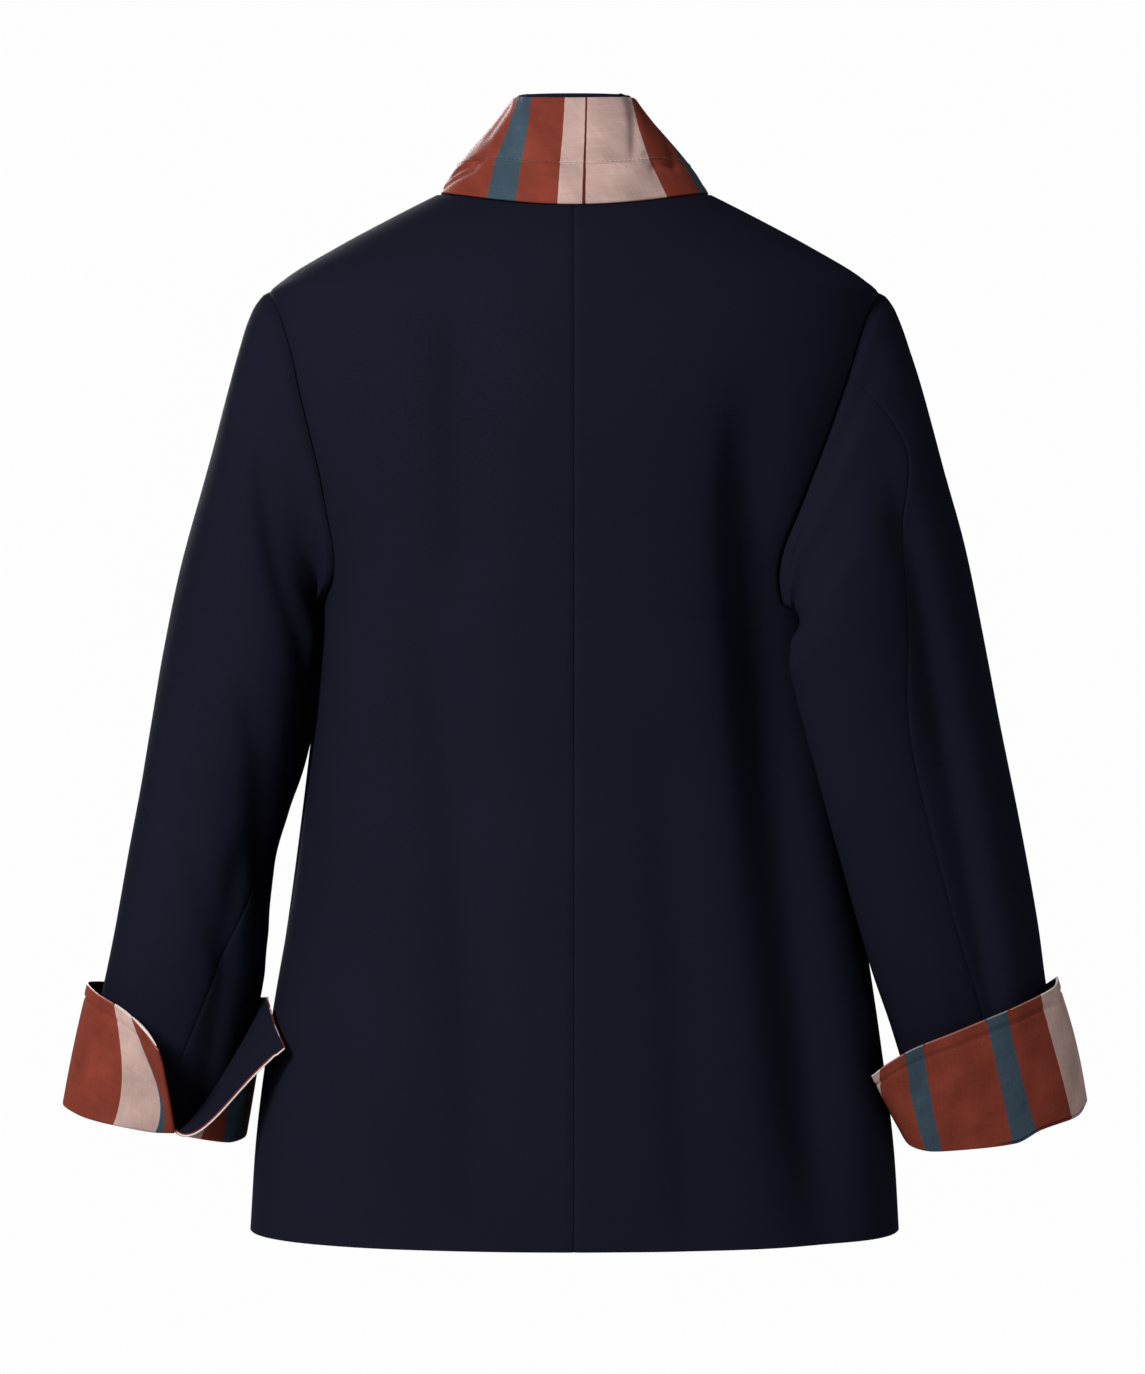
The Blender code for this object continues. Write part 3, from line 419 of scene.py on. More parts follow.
# Pitch, length and radius of the stitches, in metres.
HEM_STITCH = (0.009, 0.0012, 0.00016)
BUTTONHOLE_STITCH = (0.0005, 0.00045, 0.00035)
CREASE_THREAD_RADIUS = 0.0003
CREASE_STITCH_RISE = 0.022    # above the crease, as a share of the collar's height
DARK_CREASE = (0.075, 0.018, 0.014)
CREASE_THREADS = {
    "pink": (0.55, 0.43, 0.39), "teal": (0.008, 0.012, 0.017), "rust": DARK_CREASE, "dark": DARK_CREASE
}
# Painted highlight: each stripe's colour made paler on the rolled rim's cord, where the edge catches the
# light.
RIM_HIGHLIGHT_COLOURS = {
    "rust": (0.27, 0.085, 0.058), "teal": (0.17, 0.16, 0.17), "pink": (0.56, 0.47, 0.42),
    "dark": (0.15, 0.04, 0.03),
}
BUTTON_HOLE_PLACE, BUTTON_HOLE_RADIUS, STRAND_RADIUS = 0.0017, 0.0011, 0.0002

PHOTO_HEIGHT, METRES_PER_PIXEL = 1374, 0.00069
CAMERA_TARGET = (0.001, 0.0, -0.3395)
AMBIENT, BACKGROUND = 0.20, 0.985
FLOOR_HALF, FLOOR_DROP, FLOOR_STEPS = 2.6, 1.25, 40
LAMPS = table(
    "name place size power",
    ("key", (2.2, 2.8, 1.35), 1.2, 216),
    ("front_key", (1.2, -3.3, 0.9), 1.3, 200),
    ("fill", (-3, 1.2, 0.4), 2, 22),
)
LAMP_TARGET = (0, 0, -0.35)


def smooth(rows, key, name, at):
    """A named column anywhere along the key column: a cubic through the rows that never overshoots."""
    x = np.array([getattr(row, key) for row in rows], float)
    y = np.array([getattr(row, name) for row in rows], float)
    step = np.diff(x)
    slope = np.diff(y) / step
    product = slope[:-1] * slope[1:]
    total = np.where(product > 0, slope[:-1] + slope[1:], 1.0)
    middle = np.where(product > 0, 2 * product / total, 0.0)
    tangent = np.concatenate([slope[:1], middle, slope[-1:]])
    at = np.clip(np.asarray(at, float), x[0], x[-1])
    k = np.clip(np.searchsorted(x, at, side="right") - 1, 0, len(x) - 2)
    t = (at - x[k]) / step[k]
    return (
        y[k] * (1 + 2 * t) * (1 - t) ** 2
        + y[k + 1] * t * t * (3 - 2 * t)
        + step[k] * (tangent[k] * t * (1 - t) ** 2 - tangent[k + 1] * t * t * (1 - t))
    )


def ease(t):
    """0 to 1 with level ends."""
    t = np.clip(t, 0.0, 1.0)
    return t * t * (3 - 2 * t)


def unit(v):
    return v / np.maximum(np.linalg.norm(v, axis=-1, keepdims=True), 1e-12)


def signed_power(value, power):
    return np.sign(value) * np.abs(value) ** power


def word(side):
    return "left" if side == LEFT else "right"


def shares_of(ends):
    """The ends of the stripes as shares of their whole width."""
    return (ends - ends[0]) / (ends[-1] - ends[0])


def across_stripes(places, up, ends_at, shares):
    """Each point's share across the stripes: on every row, straight lines between the stripes' ends."""
    return np.array([np.interp(row, ends_at(height), shares) for row, height in zip(places, up[:, 0])])


def spaced(steps, first=True, last=True):
    """Even shares from 0 to 1, with closer ones beside the ends where a seam or an edge rolls."""
    close = np.array([0.12, 0.4]) / steps
    shares = [np.linspace(0, 1, steps + 1)]
    if first:
        shares.append(close)
    if last:
        shares.append(1 - close)
    return np.sort(np.concatenate(shares))


# ---------------------------------------------------------------- body surface


def body_size(drop):
    """Half width, back depth, front depth and roundness of the section at a drop, the sizes in metres."""
    return (
        smooth(BODY_LEVELS, "drop", "half_width", drop) * CM,
        smooth(BODY_LEVELS, "drop", "back", drop) * CM,
        smooth(BODY_LEVELS, "drop", "front", drop) * CM,
        smooth(BODY_LEVELS, "drop", "roundness", drop),
    )


def body_fold_depth(across, drop, back, side):
    """For each fold a bell across its bowed line, wider on one side, faded out at both ends. Two slow
    waves, bent by a slower one, keep the cloth between the folds a little uneven."""
    depth = np.zeros(np.broadcast(across, drop).shape)
    for fold in BODY_FOLDS:
        if fold.side != side:
            continue
        t = (drop - fold.top_drop) / (fold.low_drop - fold.top_drop)
        line = fold.top_across + (fold.low_across - fold.top_across) * t
        line = line + fold.bow * np.sin(math.pi * np.clip(t, 0, 1))
        away = across - line
        bell = np.exp(-((away / np.where(away < 0, fold.near, fold.far)) ** 2))
        faded = ease(t / 0.3) * ease((1.12 - t) / 0.3)
        depth += np.where(back == (fold.face == BACK), bell * faded * fold.depth, 0.0)
    drag = np.cos((drop - DRAG_DROP) * 1.9 + across * 0.5) * np.exp(-(((drop - DRAG_DROP) / 3.5) ** 2))
    drag = drag * np.exp(-((across / DRAG_REACH) ** 2)) * ease(across / 2.5)
    ripple = np.sin(0.52 * across + 0.11 * drop + 1.7 * np.sin(0.083 * drop + side))
    ripple = ripple + 0.6 * np.sin(0.93 * across - 0.07 * drop + 2.3 * np.sin(0.057 * drop + 1.1))
    ripple = RIPPLE * ripple * ease((drop - 7) / 12) * ease(across / 3)
    return (depth + ripple + np.where(back, 0.0, drag * DRAG_DEPTH)) * CM


def body_point(angle, drop, side, lift=0.0):
    """Level sections |x/w|^n + |y/d|^n = 1 whose sizes follow the drop. The angle is 0 at the side, 90 at
    the centre back and -90 at the centre front. Folds press in, lift moves out, square to the section."""
    angle, drop = np.broadcast_arrays(np.asarray(angle, float), np.asarray(drop, float))
    width, back_depth, front_depth, roundness = body_size(drop)
    cosine, sine = np.cos(np.radians(angle)), np.sin(np.radians(angle))
    back = sine >= 0
    depth = np.where(back, back_depth, front_depth)
    x = width * signed_power(cosine, 2 / roundness)
    y = depth * signed_power(sine, 2 / roundness)
    slant = np.stack(
        [
            signed_power(x / width, roundness - 1) / width,
            signed_power(y / depth, roundness - 1) / depth,
        ],
        axis=-1,
    )
    slant = unit(slant)
    press = lift - body_fold_depth(x / CM, drop, back, side)
    x = x + slant[..., 0] * press
    y = y + slant[..., 1] * press
    dip = NECK_DIP * np.clip(sine, 0, 1) ** 2 * np.clip(1 - drop / NECK_DIP_REACH, 0, 1) ** 2
    return np.stack([side * x, y, -(drop + dip) * CM], axis=-1)


def front_angle(across, drop):
    """The angle on the front at which the section at a drop lies this far from the centre line."""
    width, _, _, roundness = body_size(drop)
    share = np.clip(np.asarray(across, float) * CM / width, -1, 1)
    return -np.degrees(np.arccos(signed_power(share, roundness / 2)))


def overlap_lift(across, side):
    """How far the right front is raised where it lies over the left one."""
    return OVERLAP_LIFT * ease((OVERLAP_REACH - across) / OVERLAP_FADE) * (side == RIGHT)


def front_point(across, drop, side, lift=0.0):
    return body_point(front_angle(across, drop), drop, side, lift + overlap_lift(across, side))


def scye(turn, side):
    """Angle and drop of the armhole seam at a turn: 0 the shoulder, 90 the back, 180 the underarm."""
    turn = np.mod(turn, 360)
    return (
        smooth(ARMHOLE, "turn", word(side) + "_angle", turn),
        smooth(ARMHOLE, "turn", word(side) + "_drop", turn),
    )


def panel_grid(side, face):
    """A quarter of the body: rows are level sections, and columns run from the shoulder, armhole and
    side seams to the centre back seam or the front edge."""
    _, top_drop = scye(np.array([0.0]), side)
    _, low_drop = scye(np.array([180.0]), side)
    shoulder = top_drop[0] * spaced(SHOULDER_ROWS, last=False)[:-1]
    turns = np.linspace(0, 180, SCYE_ROWS + 1)
    scye_angle, scye_drop = scye(turns if face == BACK else 360 - turns, side)
    down = low_drop[0] + (LENGTH - low_drop[0]) * spaced(SIDE_ROWS, first=False)[1:]
    border = np.concatenate([shoulder * 0, scye_angle, down * 0])
    drop = np.concatenate([shoulder, scye_drop, down])
    if face == BACK:
        end = np.full_like(drop, 90.0)
    else:
        end = front_angle(smooth(FRONT_EDGE, "drop", "across", drop), drop)
    share = spaced(PANEL_COLUMNS)[None, :]
    angle = border[:, None] + (end - border)[:, None] * share
    drop = np.repeat(drop[:, None], share.shape[1], axis=1)
    lift = 0.0
    if face == FRONT:
        lift = overlap_lift(side * body_point(angle, drop, side)[..., 0] / CM, side)
    return body_point(angle, drop, side, lift)


def lapel_grid(side):
    """The lapel comes from inside the front, rolls round its edge in a half circle and lies on it."""
    reach = LEFT_LAPEL_REACH if side == LEFT else 1.0
    roll = np.linspace(-90, 90, LAPEL_ROLL_STEPS + 1)[:-1]
    over = spaced(LAPEL_COLUMNS, first=False)
    share = np.concatenate([roll * 0, over])
    turned = np.radians(np.concatenate([roll, over * 0 + 90]))
    along, share = np.meshgrid(spaced(LAPEL_ROWS), share, indexing="ij")
    full_drop = smooth(LAPEL, "along", "roll_drop", along)
    width = smooth(LAPEL, "along", "edge_across", along) - smooth(FRONT_EDGE, "drop", "across", full_drop)
    roll_drop = LAPEL[0].roll_drop + (full_drop - LAPEL[0].roll_drop) * reach
    radius = (LAPEL_OVER - LAPEL_UNDER) / 2
    across = smooth(FRONT_EDGE, "drop", "across", roll_drop) + width * share
    across = across - radius / CM * np.cos(turned)
    drop = roll_drop + (smooth(LAPEL, "along", "edge_drop", along) - full_drop) * share
    puff = LAPEL_PUFF * np.sin(math.pi * share) * (1 - along)
    lift = (LAPEL_OVER + LAPEL_UNDER) / 2 + radius * np.sin(turned) + puff
    return front_point(across, drop, side, lift)


# ---------------------------------------------------------------- sleeve surface


def clear_of_body(points, weight):
    """Points that would lie in the body, moved out from its axis until they clear it."""
    width, back_depth, front_depth, roundness = body_size(-points[..., 2] / CM)
    depth = np.where(points[..., 1] >= 0, back_depth, front_depth)
    x, y = np.abs(points[..., 0]), np.abs(points[..., 1])
    level = ((x / width) ** roundness + (y / depth) ** roundness) ** (1 / roundness)
    wanted = (1 + BODY_CLEARANCE / np.hypot(x, y)) / level
    softness = 0.012
    scale = (1 + wanted + np.sqrt((wanted - 1) ** 2 + softness**2)) / 2
    moved = points.copy()
    moved[..., :2] *= (1 + (scale - 1) * weight)[..., None]
    return moved


def sleeve_axes(run, side):
    """Centre, half axis towards the outer end, and half axis across it, of the section at a run."""
    sections = LEFT_SLEEVE if side == LEFT else RIGHT_SLEEVE
    read = {name: smooth(sections, "run", name, run) for name in ARM.split()[1:]}
    outer = np.stack([read["outer_x"], read["outer_y"], -read["outer_drop"]], axis=-1) * CM
    inner = np.stack([read["inner_x"], read["inner_y"], -read["inner_drop"]], axis=-1) * CM
    centre, half = (outer + inner) / 2, (outer - inner) / 2
    along = unit(half)
    across = unit(np.array([0.0, 1.0, 0.0]) - along[..., 1:2] * along)
    return centre, half, across * (read["half_depth"] * CM)[..., None]


def section(turn, run, side):
    """The plain oval section, before the armhole, the body and the folds shape it."""
    centre, half, across = sleeve_axes(run, side)
    turned = np.radians(turn)[..., None]
    return centre + half * np.cos(turned) + across * np.sin(turned)


def sleeve_fold_depth(turn, run, side):
    depth = np.zeros(np.broadcast(turn, run).shape)
    for fold in SLEEVE_FOLDS:
        if fold.side != side:
            continue
        t = (run - fold.from_run) / (fold.to_run - fold.from_run)
        line = fold.from_turn + (fold.to_turn - fold.from_turn) * t
        away = np.mod(turn - line + 180, 360) - 180
        faded = ease(t / 0.3 + 0.3) * ease((1.3 - t) / 0.3)
        bell = np.exp(-((away / np.where(away < 0, fold.near, fold.far)) ** 2))
        depth += bell * faded * fold.depth
    ripple = np.sin(np.radians(3 * turn) + 0.16 * run + 1.4 * np.sin(0.11 * run + side))
    ripple = ripple + 0.6 * np.sin(np.radians(5 * turn) - 0.09 * run + 2.0 * np.sin(0.07 * run))
    return (depth + RIPPLE * ripple * ease((run - 3) / 8)) * CM


def sleeve_point(turn, run, side):
    """Oval sections whose ends run along the tables. At the top they take the armhole's own shape, they
    keep clear of the body, the cap is a little full below its seam, and folds press in."""
    turn, run = np.broadcast_arrays(np.asarray(turn, float), np.asarray(run, float))
    plain = section(turn, run, side)
    start = section(turn, np.zeros_like(run), side)
    seam = body_point(*scye(turn, side), side)
    seam[..., 0] *= side
    fade = 1 - ease(run[..., None] / CAP_BLEND)
    points = plain + (seam - start) * fade
    points = clear_of_body(points, ease(run / PUSH_BLEND))
    centre, _, _ = sleeve_axes(run, side)
    cap = np.clip(np.cos(np.radians(turn)) + 0.2, 0, 1)
    full = CAP_FULLNESS * cap * np.exp(-(((run - 1.0) / 0.9) ** 2)) * ease(run / 0.7)
    inwards = unit(centre - points)
    points = points + inwards * (sleeve_fold_depth(turn, run, side) - full)[..., None]
    points[..., 0] *= side
    return points


def sleeve_grid(side, top):
    """The top sleeve from the front seam over the arm to the back seam, or the under sleeve beneath."""
    run = SLEEVE_END * spaced(SLEEVE_ROWS)[:, None]
    back = smooth(BACK_SEAM, "run", word(side), run)
    front = FRONT_SEAM_TURN - 360 if top else FRONT_SEAM_TURN
    turn = front + (back - front) * spaced(SLEEVE_COLUMNS)[None, :]
    return sleeve_point(turn, run, side)


# ---------------------------------------------------------------- collar surface


def collar_foot(around):
    """The neckline: round the back at the neck's level, then down the front edges to the gorge."""
    share = np.abs(around)
    angle = 90 * (1 - np.clip(share / SIDE_NECK_AROUND, 0, 1))
    drop = GORGE_DROP * np.clip((share - SIDE_NECK_AROUND) / (1 - SIDE_NECK_AROUND), 0, 1)
    front = front_angle(smooth(FRONT_EDGE, "drop", "across", drop), drop)
    foot = body_point(np.where(share > SIDE_NECK_AROUND, front, angle), drop, LEFT)
    foot[..., 0] *= np.where(around < 0, RIGHT, LEFT)
    inset = unit(foot * [1, 1, 0]) * COLLAR_FOOT_INSET
    return foot - inset + [0, 0, COLLAR_FOOT_RISE]


def collar_top(around):
    share = np.abs(around)
    x = smooth(COLLAR_TOP, "around", "across", share) * np.where(around < 0, RIGHT, LEFT)
    y = smooth(COLLAR_TOP, "around", "back", share)
    z = smooth(COLLAR_TOP, "around", "rise", share)
    return np.stack([x, y, z], axis=-1) * CM


def collar_point(around, up):
    """A slanting band in straight lines from foot to top edge, bulged at its sides, with each crease a
    bell across the line between its two ends, and faded towards both."""
    foot, top = collar_foot(around), collar_top(around)
    points = foot + (top - foot) * up[..., None]
    outwards = unit(points * [1, 1, 0])
    sides = ease(np.abs(around) / 0.3) * ease((1.1 - np.abs(around)) / 0.3)
    bulge = COLLAR_BULGE * 4 * up * (1 - up) * sides
    for fold in COLLAR_FOLDS:
        start = np.array([fold.from_around, fold.from_up / 2])
        way = np.array([fold.to_around, fold.to_up / 2]) - start
        here = np.stack([around, up / 2], axis=-1) - start
        t = (here @ way) / (way @ way)
        away = np.linalg.norm(here - np.clip(t, 0, 1)[..., None] * way, axis=-1)
        faded = ease(t / 0.2) * ease((1 - t) / 0.2)
        bulge -= fold.depth * MM * np.exp(-((away / fold.width) ** 2) * 4) * faded
    return points + outwards * bulge[..., None]


def collar_stripe_ends(up):
    """For one height, the shares around between the stripes, from the left gorge to the right."""
    up = max(up, 0.0)
    heights = [0.0, COLLAR_CREASE, COLLAR_STRIPE_MIDDLE, 1.0]
    back = np.linspace(-0.6, 0.6, 241)
    across = collar_point(back, np.full_like(back, up))[..., 0] / CM
    ends = [COLLAR_END] + [stripe.end for stripe in LEFT_SIDE_STRIPES]
    for stripe in COLLAR_STRIPES:
        seen = np.interp(up, heights, [stripe.foot, stripe.crease, stripe.middle, stripe.top])
        ends.append(np.interp(seen, across, back))
    return np.array(ends + [stripe.end for stripe in RIGHT_SIDE_STRIPES])


# ---------------------------------------------------------------- cuff surface


def cuff_bottom(low, side):
    """Where the cuff's bottom meets the sleeve's end, straight inwards from each point of the fold."""
    centre, half, across = sleeve_axes(np.array(SLEEVE_END), side)
    away = low * [side, 1, 1] - centre
    turn = np.arctan2(
        (away * across).sum(-1) / (across**2).sum(), (away * half).sum(-1) / (half**2).sum()
    )
    down = unit(np.cross(half, across))
    down = down * (1 if down[2] < 0 else -1)
    seam = section(np.degrees(turn), np.full(turn.shape, SLEEVE_END), side)
    return (seam + down * CUFF_WALL) * [side, 1, 1]


def cuff_grid(ribs, side, around):
    """Straight ribs from the fold to the rim, with the turned edge as a shallow step below the rim, and
    a bottom in to the sleeve's end. The fold between them is rounded by averaging along each rib."""
    turns = np.linspace(ribs[0].turn, ribs[-1].turn, CUFF_COLUMNS + 1)
    turns = turns[:-1] if around else turns
    turn, up = np.meshgrid(turns, spaced(CUFF_ROWS, first=False))
    read = {name: smooth(ribs, "turn", name, turn) for name in RIB.split()[1:]}
    low = np.stack([read["low_x"], read["low_y"], -read["low_drop"]], axis=-1) * CM
    top = np.stack([read["top_x"], read["top_y"], -read["top_drop"]], axis=-1) * CM
    centre = sleeve_axes(np.array(SLEEVE_END), side)[0]
    points = low + (top - low) * up[..., None]
    if side == LEFT:
        wing = ease((turn - WING_START) / (WING_FULL - WING_START))
        points[..., 2] -= WING_BOW * up * (1 - up) ** 3 * wing
    below_rim = (1 - up) * np.linalg.norm(top - low, axis=-1)
    step = CUFF_HEM_STEP * ease((CUFF_HEM - below_rim) / 0.0014)
    step -= CUFF_HEM_STEP * np.exp(-(((below_rim - CUFF_HEM - 0.0004) / 0.0013) ** 2))
    swell = CUFF_SWELL * np.sin(math.pi * up) * (1 + 0.6 * np.sin(np.radians(turn * 3.0) + 0.7))
    points = points + unit((points - centre) * [1, 1, 0]) * (step + swell)[..., None]
    points = points * [side, 1, 1]
    seam = cuff_bottom(low[0] * [side, 1, 1], side)
    inwards = np.linspace(0, 1, CUFF_BOTTOM_ROWS + 1)[:-1, None, None]
    grid = np.concatenate([seam + (points[0] - seam) * inwards, points])
    edge_row = CUFF_BOTTOM_ROWS
    for _ in range(3):
        near = np.s_[edge_row - 3 : edge_row + 3]
        grid[near] = (
            grid[edge_row - 4 : edge_row + 2] + 2 * grid[near] + grid[edge_row - 2 : edge_row + 4]
        ) / 4
    turn = np.repeat(turn[:1], len(grid), axis=0)
    up = np.concatenate([np.zeros((CUFF_BOTTOM_ROWS, up.shape[1])), up])
    return grid, turn, up


def cuff_stripe_ends(stripes, height):
    """Each end follows the parabola through its three values, and none comes before the last one."""
    at = np.array([0.0, STRIPE_MIDDLE, 1.0])
    ends = [np.polyval(np.polyfit(at, [s.low, s.middle, s.top], 2), height) for s in stripes]
    return np.maximum.accumulate([CUFF_START] + ends) + np.arange(len(ends) + 1) * 1e-6


# ---------------------------------------------------------------- sheets to meshes


def grid_normals(grid, outwards, around=False):
    """Unit normals of a grid of points, all turned to the side that most of outwards points to."""
    if around:
        grid = np.concatenate([grid[:, -1:], grid, grid[:, :1]], axis=1)
    normal = unit(np.cross(np.gradient(grid, axis=0), np.gradient(grid, axis=1)))
    normal = normal[:, 1:-1] if around else normal
    return normal * (1 if ((normal * outwards).sum(-1) > 0).mean() > 0.5 else -1)


def border_distance(grid, axis, last):
    """Distance of each point from the first or last row or column, measured along the grid."""
    steps = np.linalg.norm(np.diff(grid, axis=axis), axis=-1)
    steps = np.flip(steps, axis) if last else steps
    gone = np.cumsum(steps, axis=axis)
    start = np.zeros_like(np.take(gone, [0], axis=axis))
    gone = np.concatenate([start, gone], axis=axis)
    return np.flip(gone, axis) if last else gone


def roll_seams(grid, normals, seams, dip):
    """Beside each named seam the cloth dips into it along a bell, and stops half a gap short of it."""
    rolled = grid.copy()
    for name in seams:
        axis = 0 if name in ("top", "bottom") else 1
        last = name in ("bottom", "end")
        away = border_distance(grid, axis, last)
        rolled -= normals * (dip * np.exp(-((away / SEAM_ROLL) ** 2)))[..., None]
        edge, inner = (-1, -2) if last else (0, 1)
        edge = np.s_[edge] if axis == 0 else np.s_[:, edge]
        inner = np.s_[inner] if axis == 0 else np.s_[:, inner]
        rolled[edge] += unit(rolled[inner] - rolled[edge]) * SEAM_GAP / 2
    return rolled


def border_loops(rows, columns, around):
    """Point numbers along each closed border of a grid, in order."""
    number = np.arange(rows * columns).reshape(rows, columns)
    if around:
        return [number[0], number[-1, ::-1]]
    return [np.concatenate([number[0, :-1], number[:-1, -1], number[-1, :0:-1], number[:0:-1, 0]])]


def add_piece(name, points, faces, materials):
    """A smooth object of these points and faces, with its faces turned outwards."""
    mesh = bpy.data.meshes.new(name)
    mesh.from_pydata(points.tolist(), [], faces)
    shape = bmesh.new()
    shape.from_mesh(mesh)
    bmesh.ops.recalc_face_normals(shape, faces=shape.faces)
    shape.to_mesh(mesh)
    shape.free()
    mesh.shade_smooth()
    for one in materials:
        mesh.materials.append(one)
    piece = bpy.data.objects.new(name, mesh)
    bpy.context.scene.collection.objects.link(piece)
    return piece


def grid_quads(rows, columns, around):
    """A four-sided face between each two rows and columns of a grid of numbered points."""
    number = np.arange(rows * columns).reshape(rows, columns)
    if around:
        number = np.concatenate([number, number[:, :1]], axis=1)
    corners = [number[:-1, :-1], number[:-1, 1:], number[1:, 1:], number[1:, :-1]]
    return np.stack(corners, axis=-1).reshape(-1, 4)


def cloth(
    node, grid, normals, thickness, materials, stripes=None, around=False, seams=(), inset=0.0, dip=SEAM_DIP
):
    """A closed sheet: the grid, the same grid one thickness further in, and between them a rounded edge.
    The cloth map holds metres along and across it, and stripe shares go to an attribute."""
    grid = roll_seams(grid, normals, seams, dip) - normals * inset
    rows, columns = grid.shape[:2]
    thickness = np.broadcast_to(thickness, (rows, columns)).reshape(-1, 1)
    out = np.zeros_like(grid)
    out[0] += unit(grid[0] - grid[1])
    out[-1] += unit(grid[-1] - grid[-2])
    if not around:
        out[:, 0] += unit(grid[:, 0] - grid[:, 1])
        out[:, -1] += unit(grid[:, -1] - grid[:, -2])
    out, flat, way = unit(out).reshape(-1, 3), grid.reshape(-1, 3), normals.reshape(-1, 3)
    points, total = [flat, flat - way * thickness], rows * columns
    quads = grid_quads(rows, columns, around)
    faces = [quads, quads[:, ::-1] + total]
    source = [np.arange(total), np.arange(total)]
    made = 2 * total
    for loop in border_loops(rows, columns, around):
        middle = made + np.arange(len(loop))
        points.append(flat[loop] + (out[loop] * 0.45 - way[loop] / 2) * thickness[loop])
        source.append(loop)
        made += len(loop)
        for a, b in ((loop, middle), (middle, loop + total)):
            faces.append(np.stack([a, b, np.roll(b, -1), np.roll(a, -1)], axis=-1))
    piece = add_piece("cloth_" + node, np.concatenate(points), np.concatenate(faces).tolist(), materials)
    mesh = piece.data
    inside = np.zeros(len(mesh.polygons), dtype=np.int32)
    inside[len(quads) : 2 * len(quads)] = len(materials) - 1
    mesh.polygons.foreach_set("material_index", inside)
    source = np.concatenate(source)
    across = border_distance(grid, 1, False).reshape(-1)[source]
    along = border_distance(grid, 0, False).reshape(-1)[source]
    corner = np.empty(len(mesh.loops), dtype=np.int32)
    mesh.loops.foreach_get("vertex_index", corner)
    layer = mesh.uv_layers.new(name="cloth")
    layer.data.foreach_set("uv", np.stack([across, along], axis=-1)[corner].ravel())
    if stripes is not None:
        attribute = mesh.attributes.new("stripe", "FLOAT", "POINT")
        attribute.data.foreach_set("value", stripes.reshape(-1)[source])
    return piece


def dress(piece, node):
    """The piece stands for its solid and rides with the garment."""
    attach(piece, "root")
    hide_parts(node)


def sewing(name, points, faces, thread_material):
    """A loose piece of cord or thread that rides with the garment."""
    piece = add_piece(name, points, faces, [thread_material])
    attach(piece, "root")


def tube(name, path, radius, cord, sides=10):
    """A round cord along a path, with a ring of points square to it at each step and closed ends."""
    ahead = unit(np.gradient(path, axis=0))
    side = unit(np.cross(ahead, SKEW))
    other = np.cross(ahead, side)
    turned = np.linspace(0, 2 * math.pi, sides, endpoint=False)[None, :, None]
    taper = np.ones(len(path))
    taper[[0, -1]] = 0.55
    rings = path[:, None] + (
        side[:, None] * np.cos(turned) + other[:, None] * np.sin(turned)
    ) * (np.asarray(radius) * taper)[:, None, None]
    ring = np.arange(sides)
    faces = grid_quads(len(path), sides, True).tolist()
    faces += [ring.tolist(), (ring[::-1] + (len(path) - 1) * sides).tolist()]
    sewing(name, rings.reshape(-1, 3), faces, cord)


def stitches(name, path, normals, pitch, length, radius, sewn, slot):
    """A line of stitches: the path is walked in equal steps, and at each lies a short rounded bar, half
    sunk in the cloth, of four rings of six points."""
    gone = np.concatenate([[0], np.cumsum(np.linalg.norm(np.diff(path, axis=0), axis=-1))])
    places = np.arange(pitch / 2, gone[-1], pitch)
    spots = np.stack([np.interp(places, gone, path[:, i]) for i in range(3)], axis=-1)
    up = unit(np.stack([np.interp(places, gone, normals[:, i]) for i in range(3)], axis=-1))
    ahead = unit(np.gradient(spots, axis=0))
    side = unit(np.cross(ahead, up))
    station = np.array([-0.5, -0.3, 0.3, 0.5]) * length
    girth = np.array([0.35, 1.0, 1.0, 0.35]) * radius
    lift = np.array([-0.2, 0.45, 0.45, -0.2]) * radius
    turned = np.linspace(0, 2 * math.pi, 6, endpoint=False)
    ring = (
        ahead[:, None, None] * station[None, :, None, None]
        + up[:, None, None] * (lift[:, None] + girth[:, None] * np.sin(turned)[None])[None, ..., None]
        + side[:, None, None] * (girth[:, None] * np.cos(turned)[None])[None, ..., None]
    )
    points = (spots[:, None, None] + ring).reshape(-1, 3)
    starts = np.arange(len(spots))[:, None] * 24
    faces = (grid_quads(4, 6, True)[None] + starts[..., None]).reshape(-1, 4).tolist()
    faces += (np.arange(6)[None] + starts).tolist()
    faces += (np.arange(23, 17, -1)[None] + starts).tolist()
    sewing(name, points, faces, sewn)


# ---------------------------------------------------------------- materials


